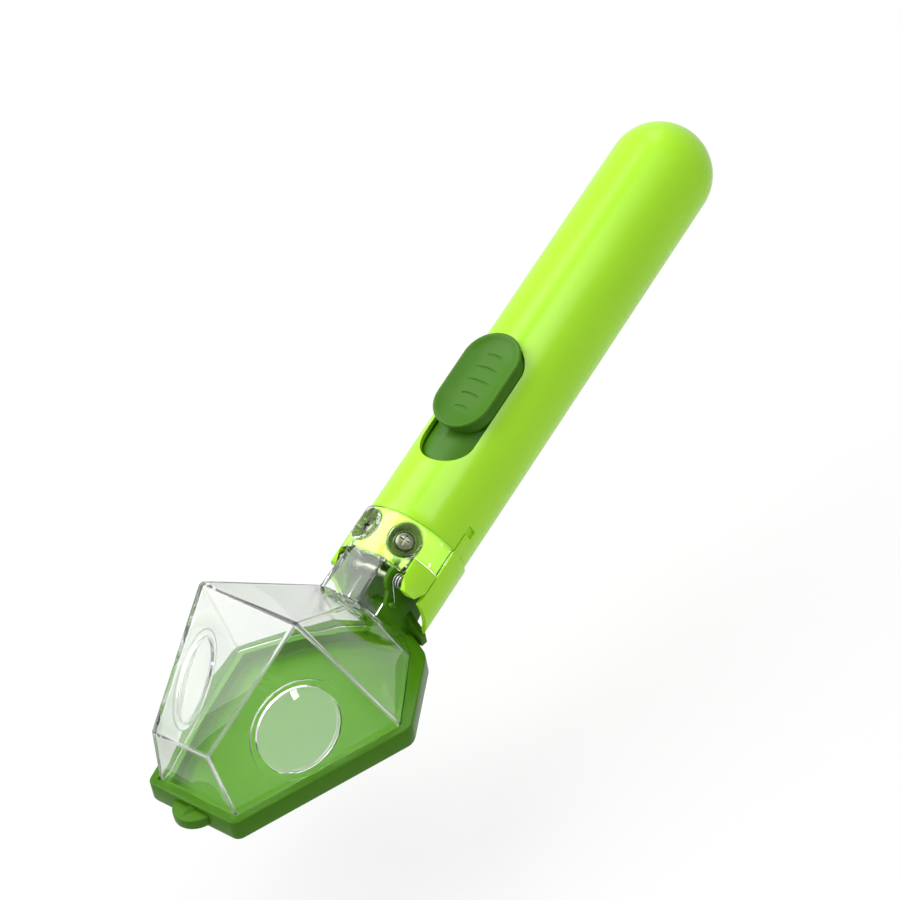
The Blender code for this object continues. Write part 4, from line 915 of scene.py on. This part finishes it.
def hollow_of(piece, wall):
    """The space inside a faceted block, open through its underside."""
    planes = [(face.normal.copy(), face.center.copy()) for face in piece.data.polygons]
    reach = SHOULDER.x - NOSE.y
    space = block("space", (-reach, -reach, -OVERRUN), (reach, reach, reach))
    for normal, centre in planes:
        if normal.z < -math.cos(EDGE_ANGLE):
            continue
        open_up(space)
        bpy.ops.mesh.bisect(plane_co=centre - normal * wall, plane_no=normal, use_fill=True,
                            clear_outer=True, threshold=WELD)
        let_go()
    # The hollow's rounded edges take the rim material, a painted highlight.
    return eased(clear_slots(space), HOLLOW_EDGE, 2, HOLLOW_EDGE_ANGLE, RIM_HIGHLIGHT_SLOT)


def neck_block(name, throat_top, inset, rear, foot, top):
    """The neck's solid or its cavity, seated on the chamber's rear wall."""
    rear_wall_top = TO_HANDLE @ throat_top
    rear_wall_foot = TO_HANDLE @ Vector((0, THROAT.y, 0))
    lean = (rear_wall_foot.y - rear_wall_top.y) / (rear_wall_top.z - rear_wall_foot.z)
    start = CHAMBER_WALL / 2 if inset == 0 else -GAP

    def front(z):
        return rear_wall_top.y + (rear_wall_top.z - z) * lean - start

    half_front = NECK_FRONT_HALF_WIDTH - inset
    half_rear = NECK_REAR_HALF_WIDTH - inset
    return wrapped(name, both_sides([Vector((half_front, front(top), top)),
                                     Vector((half_front, front(foot), foot)),
                                     Vector((half_rear, rear, top)),
                                     Vector((half_rear, rear, foot))]))


def saddle_band():
    """The clear band round the collar, with its ear notches and screw wells."""
    reach = SADDLE_HALF_ANGLE
    saddle = clear_slots(band("saddle", SADDLE_BORE, SADDLE_RADIUS, -reach, reach,
                              SADDLE_FRONT, BAND_REAR))
    for side in (-1, 1):
        low, high = span(side, NOTCH_OUTER_X, SADDLE_RADIUS + OVERRUN)
        cut(saddle, block("ear_notch", (low, SADDLE_FRONT - OVERRUN, 0),
                          (high, EAR_REAR + GAP, EAR_TOP + GAP)))
        angle = side * WELL_ANGLE
        join(saddle, spoke("cup", angle, SADDLE_BORE + SADDLE_WALL / 3, WELL_CUP_FLOOR,
                           WELL_CUP_RADIUS, WELL_CUP_FLOOR_RADIUS))
        hole = SCREW_SHANK_RADIUS + GAP
        well = clear_slots(spoke("well", angle, SADDLE_RADIUS + OVERRUN, WELL_FLOOR,
                                 WELL_MOUTH_RADIUS + OVERRUN / 2, WELL_FLOOR_RADIUS))
        # The well's walls take the dark clear material, which is painted shade.
        open_up(well)
        well.active_material_index = WELL_SHADE_SLOT
        bpy.ops.object.material_slot_assign()
        let_go()
        cut(saddle, well,
            spoke("saddle_hole", angle, SADDLE_RADIUS, WELL_CUP_FLOOR - OVERRUN, hole, hole))
    cleaned(saddle, SLIVER)
    # The saddle's rounded edges take the rim material, a painted highlight.
    return eased(saddle, SADDLE_EDGE, 2, SHARP_ANGLE, RIM_HIGHLIGHT_SLOT)


def make_chamber(sizes):
    """The clear moulding: faceted chamber, neck hood and screwed saddle."""
    corners, throat_top, lens, normal = chamber_corners()
    chamber = wrapped("clear_chamber", both_sides(corners))
    space = hollow_of(chamber, sizes.chamber_wall)
    open_up(clear_slots(chamber))
    # The chamber's bevel faces take the rim material, a painted highlight.
    bpy.ops.mesh.bevel(offset=sizes.chamber_edge, segments=3, affect="EDGES",
                       material=RIM_HIGHLIGHT_SLOT)
    let_go()
    cut(chamber, space)
    edge = BEZEL_EDGE
    rim = arc((BEZEL_RADIUS - edge, BEZEL_HEIGHT - edge), edge, 0, math.pi / 2, EDGE_STEP)
    profile = [(0, -CHAMBER_WALL / 2), (BEZEL_RADIUS, -CHAMBER_WALL / 2), *rim,
               (0, BEZEL_HEIGHT)]
    ledge = sizes.lens_radius - LENS_LEDGE
    seat = sizes.lens_radius + GAP
    top = BEZEL_HEIGHT + OVERRUN
    for side in (-1, 1):
        place = along(on_side(lens, side), on_side(normal, side))
        join(chamber, put(lathed("bezel", profile), place))
        window = lathed("window", [(0, -CHAMBER_WALL - OVERRUN), (ledge, -CHAMBER_WALL - OVERRUN),
                                   (ledge, -LENS_SEAT_DEPTH), (seat, -LENS_SEAT_DEPTH),
                                   (seat, top), (0, top)])
        cut(chamber, put(window, place))
    put(chamber, TO_HANDLE)
    hood = clear_slots(neck_block("hood", throat_top, 0, NECK_REAR, NECK_FOOT, NECK_TOP))
    # The hood's rounded edges take the rim material, a painted highlight.
    eased(hood, NECK_EDGE, rim=RIM_HIGHLIGHT_SLOT)
    hole = HINGE_PIN_RADIUS + GAP
    reach = ARM_INNER_X + OVERRUN
    cut(hood, neck_block("hood_space", throat_top, NECK_WALL, NECK_REAR + OVERRUN,
                         NECK_FOOT - OVERRUN, NECK_TOP - NECK_WALL),
        cone("pin_hole", (-reach, *HINGE), (reach, *HINGE), hole, hole))
    join(chamber, hood, saddle_band())
    put(chamber, HANDLE)
    finished(chamber, "clear_gloss", "handle_body", ["chamber_shell"])


def make_lenses(sizes):
    """Two plano-convex magnifying lenses on their seats."""
    _, _, place, normal = chamber_corners()
    radius, sag = sizes.lens_radius, sizes.lens_crown
    bulge = (radius ** 2 + sag ** 2) / (2 * sag)
    half_angle = math.asin(radius / bulge)
    crown = arc((0, LENS_EDGE + sag - bulge), bulge, math.pi / 2, math.pi / 2 - half_angle,
                half_angle / LENS_RINGS)
    edge = LENS_RIM_EDGE
    profile = crown + [(radius, LENS_EDGE - edge), (radius, edge), (radius - edge, 0), (0, 0)]
    for name, side in SIDES:
        out = on_side(normal, side)
        seat = on_side(place, side) - out * (LENS_SEAT_DEPTH - GAP)
        lens = put(lathed("magnifier_" + name, profile), CHAMBER @ along(seat, out))
        finished(lens, "lens_gloss", "handle_body", ["lens_" + name])


# Tray

def spring_lug():
    """The centre of the lug that the spring's free leg pushes, in the handle frame."""
    start_y = HINGE_Y + SPRING_RADIUS * math.cos(SPRING_FREE_ANGLE)
    start_z = HINGE_Z + SPRING_RADIUS * math.sin(SPRING_FREE_ANGLE)
    along_y, along_z = -math.sin(SPRING_FREE_ANGLE), math.cos(SPRING_FREE_ANGLE)
    away = LUG_RADIUS + GAP + WIRE_RADIUS
    return (start_y + along_y * LUG_ALONG_LEG + along_z * away,
            start_z + along_z * LUG_ALONG_LEG - along_y * away)


def in_chamber(place):
    """A (y, z) pair of the handle frame as a (y, z) pair of the chamber frame."""
    moved = TO_HANDLE.inverted() @ Vector((0, *place))
    return moved.y, moved.z


def tray_arm(side):
    """The sector arm from the hub to the tray, with the lobe and the lug pad."""
    hub, lobe, pad = (in_chamber(place) for place in (HINGE, DRIVE_POINT, spring_lug()))
    heel = in_chamber((ARM_HEEL_Y, ARM_HEEL_Z))
    edges = span(side, ARM_INNER_X, ARM_OUTER_X)
    points = [heel, (ARM_FOOT_FRONT, ARM_FOOT_Z), (ARM_FOOT_REAR, ARM_FOOT_Z)]
    for centre, radius in ((hub, ARM_HUB_RADIUS), (lobe, ARM_LOBE_RADIUS),
                           (pad, LUG_PAD_RADIUS)):
        points += arc(centre, radius, 0, 2 * math.pi, ARC_STEP * 2)[:-1]
    arm = wrapped("arm", [(x, y, z) for x in edges for y, z in points])
    knuckle = cone("knuckle", (edges[0], *hub), (edges[1], *hub), KNUCKLE_RADIUS, KNUCKLE_RADIUS)
    return join(arm, knuckle)


def tray_dish(sizes):
    """The tray's plate: chamfered foot, rounded lip, chamber seat and dished floor."""
    base = base_outline()
    outline = offset_outline(base, sizes.tray_margin)
    for i, side in TAIL_CORNERS:
        x, y = outline[i]
        outline[i] = (x + side * TAIL_CORNER_REACH_X, y + TAIL_CORNER_REACH_Y)
    tray = slab("catch_tray", outline, "Z", -TRAY_DEPTH, TRAY_LIP)
    open_up(tray)
    rounded(tray, upright, sizes.tray_corner / 2, TRAY_CORNER_STEPS)
    rounded(tray, level(-TRAY_DEPTH), TRAY_CHAMFER, 2)
    rounded(tray, level(TRAY_LIP), TRAY_LIP_EDGE, 3)
    let_go()
    floor = TRAY_FLOOR - TRAY_DEPTH
    pocket = slab("pocket", offset_outline(base, -TRAY_LEDGE), "Z", floor, OVERRUN)
    open_up(pocket)
    rounded(pocket, upright, FLOOR_CORNER / 2, FLOOR_STEPS)
    rounded(pocket, level(floor), FLOOR_EDGE, FLOOR_STEPS)
    let_go()
    cut(tray, slab("seat", offset_outline(base, GAP), "Z", -GAP, TRAY_LIP + OVERRUN), pocket)
    crown_base = offset_outline(base, -TRAY_LEDGE - FLOOR_CROWN_INSET)
    ridge = [(0, y, floor + FLOOR_CROWN) for y in (FLOOR_RIDGE_FRONT, FLOOR_RIDGE_REAR)]
    return join(tray, wrapped("crown", lifted(crown_base, floor - FLOOR_CROWN) + ridge
                              + lifted(crown_base, floor + GAP / 3)))


def finger_tab(margin):
    """The round tab in front of the nose, and the crease that runs down to it."""
    front = NOSE.y - margin
    inside = front + margin / 2
    top = -TAB_DROP
    centre = (0, front - TAB_REACH + TAB_RADIUS)
    tab = cone("tab", (*centre, top - TAB_THICKNESS), (*centre, top), TAB_RADIUS, TAB_RADIUS,
               ROUND_STEPS)
    crease = wrapped("crease", [
        (TAB_CREASE_HALF_WIDTH, inside, top - GAP), (-TAB_CREASE_HALF_WIDTH, inside, top - GAP),
        (0, inside, top + TAB_CREASE_HEIGHT), (0, front - TAB_REACH + OVERRUN / 2, top - GAP),
        (0, inside, top - TAB_THICKNESS / 2)])
    return eased(tab, TAB_EDGE), crease


def tail_wall():
    """The wall across the tray's tail."""
    outline = [(-TAIL_FOOT_HALF_WIDTH, -TAB_THICKNESS), (TAIL_FOOT_HALF_WIDTH, -TAB_THICKNESS),
               (TAIL_FOOT_HALF_WIDTH, GAP), (TAIL_TOP_HALF_WIDTH, TAIL_WALL_TOP),
               (-TAIL_TOP_HALF_WIDTH, TAIL_WALL_TOP), (-TAIL_FOOT_HALF_WIDTH, GAP)]
    return eased(slab("tail_wall", outline, "Y", TAIL_WALL_FRONT, TAIL_WALL_REAR),
                 TAIL_WALL_EDGE)


def make_tray(sizes):
    """The swinging tray: dished floor, finger tab, tail wall and hinge arms."""
    hub, lobe, pad = (in_chamber(place) for place in (HINGE, DRIVE_POINT, spring_lug()))
    lug = rod("lug", (ARM_OUTER_X - OVERRUN, *pad), (LUG_OUTER_X, *pad), LUG_RADIUS)
    tray = join(tray_dish(sizes), *finger_tab(sizes.tray_margin), tail_wall(), tray_arm(-1),
                tray_arm(1), lug)
    for side in (-1, 1):
        low, high = span(side, ARM_INNER_X - OVERRUN, ARM_OUTER_X + OVERRUN)
        for place, radius in ((hub, HINGE_PIN_RADIUS + GAP), (lobe, DRIVE_PIN_RADIUS + GAP)):
            cut(tray, cone("hole", (low, *place), (high, *place), radius, radius))
    put(tray, CHAMBER)
    finished(tray, "tray_satin", "tray_body", ["tray"])


# Slider

BUTTON_RINGS = (
    # inward, rise, both in millimetres
    (0.0, 1.8), (0.3, 0.4), (0.55, 1.0), (0.25, 1.1), (-0.15, 0.9), (-0.1, 0.7),
    (0.08, 0.4), (0.22, 0.24), (0.35, 0.06), (0.35, -0.1), (0.6, -0.34), (0.8, -0.38),
    (1.0, -0.34), (1.3, -0.28), (1.4, -0.16),
)


def dish_rise(x, y):
    """How far the dish stands above its lowest point at a place."""
    reach = abs(y) - (BUTTON_REAR - BUTTON_FRONT) / 2 + STEM_HALF_WIDTH
    away = math.hypot(x, max(reach, 0))
    left, height = STEM_HALF_WIDTH - sum(inward for inward, _ in BUTTON_RINGS) * MM, 0
    for inward, rise in reversed(BUTTON_RINGS):
        if rise > 0 or away < left:
            break
        share = min(1, (away - left) / (inward * MM))
        height -= rise * MM * share
        left += inward * MM
    return height


def make_button():
    """The thumb button: flared stem, rounded lip and dished top with grip lines."""
    outline = obround(STEM_HALF_WIDTH, BUTTON_FRONT, BUTTON_REAR)
    button = traced("thumb_button", lifted(outline, STEM_FOOT))
    take_all()
    bpy.ops.mesh.edge_face_add()
    raise_face((0, 0, MM))
    tidy_faces()
    top = STEM_FOOT + MM
    pick(button, "faces", lambda face: face.calc_center_median().z > top - WELD)
    for inward, rise in BUTTON_RINGS:
        if inward:
            bpy.ops.mesh.inset(thickness=abs(inward) * MM, depth=rise * MM,
                               use_outset=inward < 0, use_even_offset=True)
        else:
            raise_face((0, 0, rise * MM))
    let_go()
    floor = top + sum(rise for _, rise in BUTTON_RINGS) * MM
    middle = (BUTTON_FRONT + BUTTON_REAR) / 2
    shares = [2 * step / GRIP_STEPS - 1 for step in range(GRIP_STEPS + 1)]
    for i, half_width in enumerate(GRIP_HALF_WIDTHS):
        y = middle + GRIP_PITCH * (i - (len(GRIP_HALF_WIDTHS) - 1) / 2)
        points = [(half_width * share, y + GRIP_BOW * (1 - share ** 2),
                   floor + dish_rise(half_width * share, y - middle)) for share in shares]
        cut(button, wire("grip_line", points, GRIP_RADIUS))
    hollow = PLATE_RADIUS + GAP
    cut(button, cone("hollow", (0, BUTTON_FRONT - OVERRUN, 0), (0, BUTTON_REAR + OVERRUN, 0),
                     hollow, hollow, ROUND_STEPS))
    put(button, HANDLE)
    finished(button, "slider_satin", "slider_body", ["slider_button"],
             crease=SHARP_ANGLE)


def dressed_copy(node, name, width, material, body):
    """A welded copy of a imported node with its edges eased."""
    let_go()
    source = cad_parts[node]
    copy = source.copy()
    copy.data = source.data.copy()
    for key in list(copy.keys()):
        del copy[key]
    copy.name = name
    copy.parent = None
    bpy.context.scene.collection.objects.link(copy)
    open_up(copy)
    bpy.ops.mesh.customdata_custom_splitnormals_clear()
    take_all()
    bpy.ops.mesh.remove_doubles(threshold=WELD)
    bpy.ops.mesh.dissolve_limited(angle_limit=FLAT_ANGLE)
    let_go()
    if width:
        eased(copy, width, 2, SHARP_ANGLE)
    copy.data.materials.clear()
    finished(copy, material, body, [node])


# Screws, pins and spring

def make_screws():
    """Two pan-head screws with cross recesses in the saddle's wells."""
    radius, height, shank = SCREW_HEAD_RADIUS, SCREW_HEAD_HEIGHT, SCREW_SHANK_RADIUS
    rim = SCREW_RIM_SHARE
    turns = [math.pi / 2 * i / SCREW_DOME_STEPS for i in range(SCREW_DOME_STEPS + 1)]
    profile = [(radius * math.sin(turn), height * (rim + (1 - rim) * math.cos(turn)))
               for turn in turns]
    profile += [(radius, 0), (shank, 0), (shank, PIN_EDGE - SCREW_REACH),
                (shank - PIN_EDGE, -SCREW_REACH), (0, -SCREW_REACH)]
    half_long, half_wide = SCREW_CROSS_LENGTH / 2, SCREW_CROSS_WIDTH / 2
    seat = WELL_FLOOR + GAP
    for name, side in SIDES:
        piece = lathed("well_screw_" + name, profile, SMALL_STEPS)
        for x, z in ((half_long, half_wide), (half_wide, half_long)):
            cut(piece, block("recess", (-x, height - SCREW_CROSS_DEPTH, -z),
                             (x, height + OVERRUN, z)))
        head = radial(side * WELL_ANGLE, seat)
        put(piece, HANDLE @ along(head, head - radial(side * WELL_ANGLE, seat - SCREW_REACH)))
        finished(piece, "screw_steel", "handle_body", ["saddle_screw_" + name])


def make_pins():
    """The hinge pin across the ears and the drive pin between the arms."""
    for name, reach, place, radius, body, node in (
            ("hinge_axle", HINGE_PIN_HALF_LENGTH, HINGE, HINGE_PIN_RADIUS, "handle_body",
             "hinge_pin"),
            ("drive_axle", ARM_OUTER_X, DRIVE_POINT, DRIVE_PIN_RADIUS, "tray_body",
             "drive_pin")):
        pin = put(rod(name, (-reach, *place), (reach, *place), radius), HANDLE)
        finished(pin, "pin_steel", body, [node])


def make_spring():
    """The torsion spring on the pin, which twists between handle and tray."""
    sweep = SPRING_FREE_ANGLE - SPRING_FIXED_ANGLE + SPRING_WHOLE_TURNS * 2 * math.pi
    count = math.ceil(sweep / (2 * math.pi) * POINTS_PER_TURN)
    points = []
    for i in range(count + 1):
        share = i / count
        turn = SPRING_FIXED_ANGLE + sweep * share
        x = SPRING_OUTER_X + (SPRING_INNER_X - SPRING_OUTER_X) * share
        points.append(Vector((x, HINGE_Y + SPRING_RADIUS * math.cos(turn),
                              HINGE_Z + SPRING_RADIUS * math.sin(turn))))
    fixed, free = SPRING_FIXED_ANGLE, SPRING_FREE_ANGLE
    leg_out = Vector((0, math.sin(fixed), -math.cos(fixed))) * FIXED_LEG
    leg_down = Vector((0, -math.sin(free), math.cos(free))) * FREE_LEG
    points = [points[0] + leg_out] + points + [points[-1] + leg_down]
    spring = put(wire("torsion_spring", points, WIRE_RADIUS), HANDLE)
    finished(spring, "plated_steel", None, ["return_spring"])
    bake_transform(spring)


# Stage

CAMERA_TARGET = Vector((-3.0, 84.24, 40.09)) * MM
CAMERA_DISTANCE = 931.2 * MM
CAMERA_AZIMUTH = math.radians(45.97)
CAMERA_ELEVATION = math.radians(37.45)
CAMERA_ROLL = math.radians(11.13)
CAMERA_LENS = 129.46
CAMERA_SENSOR = 36.0
CAMERA_CLIP = (0.05, 20.0)
FLOOR_RADIUS = 2.4
FLOOR_DROP = 47.0 * MM
FLOOR_ROUGHNESS = 0.9
FLOOR_MIRROR = 0.8
FLOOR_WHITENING = {"From Min": 0.22, "From Max": 0.6, "To Min": 0.8, "To Max": 1.0}
WORLD_LIGHT = 0.34
WORLD_MIRROR = 0.88
WHITE = (1.0, 1.0, 1.0, 1.0)

STUDIO_LAMPS = (
    # name, azimuth and elevation in degrees, distance, width and height in metres, watts
    ("key", -62.0, 50.0, 1.1, 1.0, 1.0, 13.2),
    ("top", 90.0, 72.0, 1.1, 0.16, 0.9, 3.5),
    ("back", -145.0, 52.0, 1.2, 0.35, 0.7, 2.2),
    ("glint", 85.0, 2.0, 0.9, 0.07, 0.1, 0.45),
)


def from_angles(azimuth, elevation):
    """The direction of an azimuth from -y towards +x and an elevation."""
    level = math.cos(elevation)
    return Vector((math.sin(azimuth) * level, -math.cos(azimuth) * level, math.sin(elevation)))


def make_camera():
    """The photograph's view: down on the right side, with a slight roll."""
    back = from_angles(CAMERA_AZIMUTH, CAMERA_ELEVATION)
    level = Vector((math.cos(CAMERA_AZIMUTH), math.sin(CAMERA_AZIMUTH), 0))
    above = back.cross(level)
    right = level * math.cos(CAMERA_ROLL) - above * math.sin(CAMERA_ROLL)
    up = back.cross(right)
    let_go()
    bpy.ops.object.camera_add(location=CAMERA_TARGET + back * CAMERA_DISTANCE)
    camera = bpy.context.object
    camera.name = "photo_view"
    camera.rotation_euler = Matrix((right, up, back)).transposed().to_euler()
    camera.data.lens = CAMERA_LENS
    camera.data.sensor_width = CAMERA_SENSOR
    camera.data.clip_start, camera.data.clip_end = CAMERA_CLIP
    bpy.context.scene.camera = camera


def shown_ray(tree):
    """The light path, and a node for rays from the camera or through glass."""
    path = tree.nodes.new("ShaderNodeLightPath")
    shown = shader_node(tree, "ShaderNodeMath", operation="MAXIMUM")
    wire_up(tree, (path, "Is Camera Ray", shown, 0), (path, "Is Transmission Ray", shown, 1))
    return path, shown


def make_floor(colour):
    """A pale floor below the open tray, white to the camera, with a soft shadow."""
    let_go()
    bpy.ops.mesh.primitive_circle_add(vertices=ROUND_STEPS, radius=FLOOR_RADIUS,
                                      fill_type="NGON")
    floor = put(bpy.context.object, Matrix.Translation((0, 0, -FLOOR_DROP)))
    floor.name = "studio_floor"
    made = bpy.data.materials.new("studio_paper")
    made.use_nodes = True
    tree = made.node_tree
    paper = tree.nodes["Principled BSDF"]
    fill(paper, {"Base Color": (*colour, 1.0), "Roughness": FLOOR_ROUGHNESS})
    glow = shader_node(tree, "ShaderNodeEmission", Color=WHITE, Strength=1.0)
    dusk = shader_node(tree, "ShaderNodeEmission", Color=WHITE, Strength=FLOOR_MIRROR)
    place = tree.nodes.new("ShaderNodeTexCoord")
    reach = shader_node(tree, "ShaderNodeVectorMath", operation="LENGTH")
    whiten = tree.nodes.new("ShaderNodeMapRange")
    fill(whiten, FLOOR_WHITENING)
    share = shader_node(tree, "ShaderNodeMath", operation="MULTIPLY")
    mix = tree.nodes.new("ShaderNodeMixShader")
    mirrored = tree.nodes.new("ShaderNodeMixShader")
    path, shown = shown_ray(tree)
    wire_up(tree,
            (place, "Object", reach, 0), (reach, "Value", whiten, "Value"),
            (shown, 0, share, 0), (whiten, "Result", share, 1),
            (share, 0, mix, 0), (paper, 0, mix, 1), (glow, 0, mix, 2),
            (path, "Is Glossy Ray", mirrored, 0), (mix, 0, mirrored, 1),
            (dusk, 0, mirrored, 2),
            (mirrored, 0, tree.nodes["Material Output"], "Surface"))
    floor.data.materials.append(made)


def make_world():
    """A white backdrop for the camera and an even, weaker light for the rest."""
    world = bpy.data.worlds.new("studio_world")
    bpy.context.scene.world = world
    world.use_nodes = True
    tree = world.node_tree
    backdrop = tree.nodes["Background"]
    fill(backdrop, {"Color": WHITE})
    path, shown = shown_ray(tree)
    mirrored = shader_node(tree, "ShaderNodeMath", operation="MULTIPLY_ADD")
    fill(mirrored, {1: WORLD_MIRROR - WORLD_LIGHT, 2: WORLD_LIGHT})
    strength = shader_node(tree, "ShaderNodeMath", operation="MULTIPLY_ADD")
    fill(strength, {1: 1.0 - WORLD_LIGHT})
    wire_up(tree,
            (path, "Is Glossy Ray", mirrored, 0), (shown, 0, strength, 0),
            (mirrored, 0, strength, 2), (strength, 0, backdrop, "Strength"))


def make_lamps():
    """The soft lamps round the catcher."""
    for name, azimuth, elevation, distance, width, height, power in STUDIO_LAMPS:
        direction = from_angles(math.radians(azimuth), math.radians(elevation))
        let_go()
        bpy.ops.object.light_add(type="AREA", location=CAMERA_TARGET + direction * distance)
        lamp = bpy.context.object
        lamp.name = name + "_lamp"
        lamp.rotation_euler = direction.to_track_quat("Z", "Y").to_euler()
        lamp.data.shape = "RECTANGLE"
        lamp.data.size = width
        lamp.data.size_y = height
        lamp.data.energy = power


# The add-on's sizes, colours, operators and panel

def length(name, description, default):
    """A length property in metres."""
    return bpy.props.FloatProperty(name=name, description=description, default=default,
                                   min=0.0, subtype="DISTANCE", unit="LENGTH", precision=5)


def colour(name, description, default):
    """A colour property."""
    return bpy.props.FloatVectorProperty(name=name, description=description, default=default,
                                         size=3, min=0.0, max=1.0, subtype="COLOR")


class CatcherSizes(bpy.types.PropertyGroup):
    """The main sizes of the dressed pieces."""

    tube_radius: length("Tube radius", "Outer radius of the grip", TUBE_RADIUS)
    chamber_wall: length("Chamber wall", "Thickness of the clear walls", CHAMBER_WALL)
    chamber_edge: length("Chamber edge", "Rounding of the clear edges", CHAMBER_EDGE)
    lens_radius: length("Lens radius", "Radius of each magnifier", LENS_RADIUS)
    lens_crown: length("Lens crown", "Height of each magnifier's dome", LENS_CROWN)
    tray_margin: length("Tray margin", "Reach of the tray beyond the chamber", TRAY_MARGIN)
    tray_corner: length("Tray corner", "Rounding of the tray's corners", TRAY_CORNER)


class CatcherColours(bpy.types.PropertyGroup):
    """Colours of the mouldings, the metal and the floor."""

    lime: colour("Lime", "Colour of the handle", (0.40, 0.80, 0.022))
    lime_shade: colour("Lime shade", "Deeper tone of the handle", (0.36, 0.74, 0.018))
    slider: colour("Slider", "Colour of the thumb slider", (0.057, 0.185, 0.005))
    slider_shade: colour("Slider shade", "Deeper tone of the slider", (0.044, 0.16, 0.004))
    tray: colour("Tray", "Colour of the tray", (0.058, 0.185, 0.005))
    tray_shade: colour("Tray shade", "Deeper tone of the tray", (0.048, 0.16, 0.004))
    clear: colour("Clear", "Tint of the clear moulding", (0.996, 0.999, 0.997))
    # The clear rim colour is a painted highlight on the clear moulding's rounded edges.
    rim: colour("Clear rim", "Tone of the clear moulding's rounded edges", (0.86, 0.87, 0.86))
    # The clear well colour is painted shade in the recessed screw wells.
    well: colour("Clear well", "Tone of the walls of the screw wells", (0.12, 0.14, 0.07))
    steel: colour("Steel", "Colour of the spring", (0.66, 0.67, 0.68))
    screw: colour("Screw", "Colour of the screws and pins", (0.2, 0.22, 0.15))
    floor: colour("Floor", "Colour of the studio floor", (0.86, 0.86, 0.86))


class MakePiece:
    """What the operators share."""

    bl_options = {"REGISTER", "UNDO"}

    def execute(self, context):
        """Model the piece from the scene's sizes."""
        self.make(context.scene.catcher_sizes, context.scene.catcher_colours)
        return {"FINISHED"}


class CATCHER_OT_materials(MakePiece, bpy.types.Operator):
    """Make the plastics and the steel in the chosen colours"""

    bl_idname = "catcher.materials"
    bl_label = "Materials"

    def make(self, sizes, colours):
        make_materials(colours)


class CATCHER_OT_handle(MakePiece, bpy.types.Operator):
    """Model the hollow grip"""

    bl_idname = "catcher.handle"
    bl_label = "Handle"

    def make(self, sizes, colours):
        make_handle(sizes)


class CATCHER_OT_collar(MakePiece, bpy.types.Operator):
    """Model the lime collar with its hinge ears"""

    bl_idname = "catcher.collar"
    bl_label = "Collar"

    def make(self, sizes, colours):
        make_collar()


class CATCHER_OT_cover(MakePiece, bpy.types.Operator):
    """Model the lime half shell under the collar"""

    bl_idname = "catcher.cover"
    bl_label = "Lower cover"

    def make(self, sizes, colours):
        make_cover()


class CATCHER_OT_chamber(MakePiece, bpy.types.Operator):
    """Model the clear chamber with its neck and saddle"""

    bl_idname = "catcher.chamber"
    bl_label = "Clear chamber"

    def make(self, sizes, colours):
        make_chamber(sizes)


class CATCHER_OT_lenses(MakePiece, bpy.types.Operator):
    """Model the two magnifying lenses"""

    bl_idname = "catcher.lenses"
    bl_label = "Lenses"

    def make(self, sizes, colours):
        make_lenses(sizes)


class CATCHER_OT_tray(MakePiece, bpy.types.Operator):
    """Model the swinging tray"""

    bl_idname = "catcher.tray"
    bl_label = "Tray"

    def make(self, sizes, colours):
        make_tray(sizes)


class CATCHER_OT_slider(MakePiece, bpy.types.Operator):
    """Model the thumb button and dress its carriage"""

    bl_idname = "catcher.slider"
    bl_label = "Slider"

    def make(self, sizes, colours):
        make_button()
        dressed_copy("slider_carriage", "carriage", CARRIAGE_EDGE, "slider_satin",
                     "slider_body")


class CATCHER_OT_metal(MakePiece, bpy.types.Operator):
    """Model the screws, the pins and the return spring"""

    bl_idname = "catcher.metal"
    bl_label = "Metal pieces"

    def make(self, sizes, colours):
        make_screws()
        make_pins()
        make_spring()
        for name in ("front", "rear"):
            dressed_copy("button_screw_" + name, "under_screw_" + name, 0, "plated_steel",
                         "slider_body")


class CATCHER_OT_stage(MakePiece, bpy.types.Operator):
    """Set up the floor, the backdrop, the lamps and the camera"""

    bl_idname = "catcher.stage"
    bl_label = "Stage"

    def make(self, sizes, colours):
        make_floor(colours.floor)
        make_world()
        make_lamps()
        make_camera()
        bpy.context.scene.view_settings.view_transform = "Standard"


MAKERS = (CATCHER_OT_materials, CATCHER_OT_handle, CATCHER_OT_collar, CATCHER_OT_cover,
          CATCHER_OT_chamber, CATCHER_OT_lenses, CATCHER_OT_tray, CATCHER_OT_slider,
          CATCHER_OT_metal, CATCHER_OT_stage)


class CATCHER_PT_panel(bpy.types.Panel):
    """The catcher's sizes, colours and makers in the sidebar."""

    bl_idname = "CATCHER_PT_panel"
    bl_label = "Spider catcher"
    bl_space_type = "VIEW_3D"
    bl_region_type = "UI"
    bl_category = "Catcher"

    def draw(self, context):
        """List the properties, then one button for each operator."""
        for group in (context.scene.catcher_sizes, context.scene.catcher_colours):
            column = self.layout.column(align=True)
            for name in group.__annotations__:
                column.prop(group, name)
        for maker in MAKERS:
            self.layout.operator(maker.bl_idname)


CLASSES = (CatcherSizes, CatcherColours, *MAKERS, CATCHER_PT_panel)


def register():
    """Add the classes and the scene's two property groups."""
    for item in CLASSES:
        bpy.utils.register_class(item)
    bpy.types.Scene.catcher_sizes = bpy.props.PointerProperty(type=CatcherSizes)
    bpy.types.Scene.catcher_colours = bpy.props.PointerProperty(type=CatcherColours)


def unregister():
    """Take away what register added."""
    del bpy.types.Scene.catcher_colours
    del bpy.types.Scene.catcher_sizes
    for item in reversed(CLASSES):
        bpy.utils.unregister_class(item)


def main():
    """Model everything."""
    register()
    bpy.ops.catcher.materials()
    bpy.ops.catcher.handle()
    bpy.ops.catcher.collar()
    bpy.ops.catcher.cover()
    bpy.ops.catcher.chamber()
    bpy.ops.catcher.lenses()
    bpy.ops.catcher.tray()
    bpy.ops.catcher.slider()
    bpy.ops.catcher.metal()
    bpy.ops.catcher.stage()


if __name__ == "__main__":
    main()
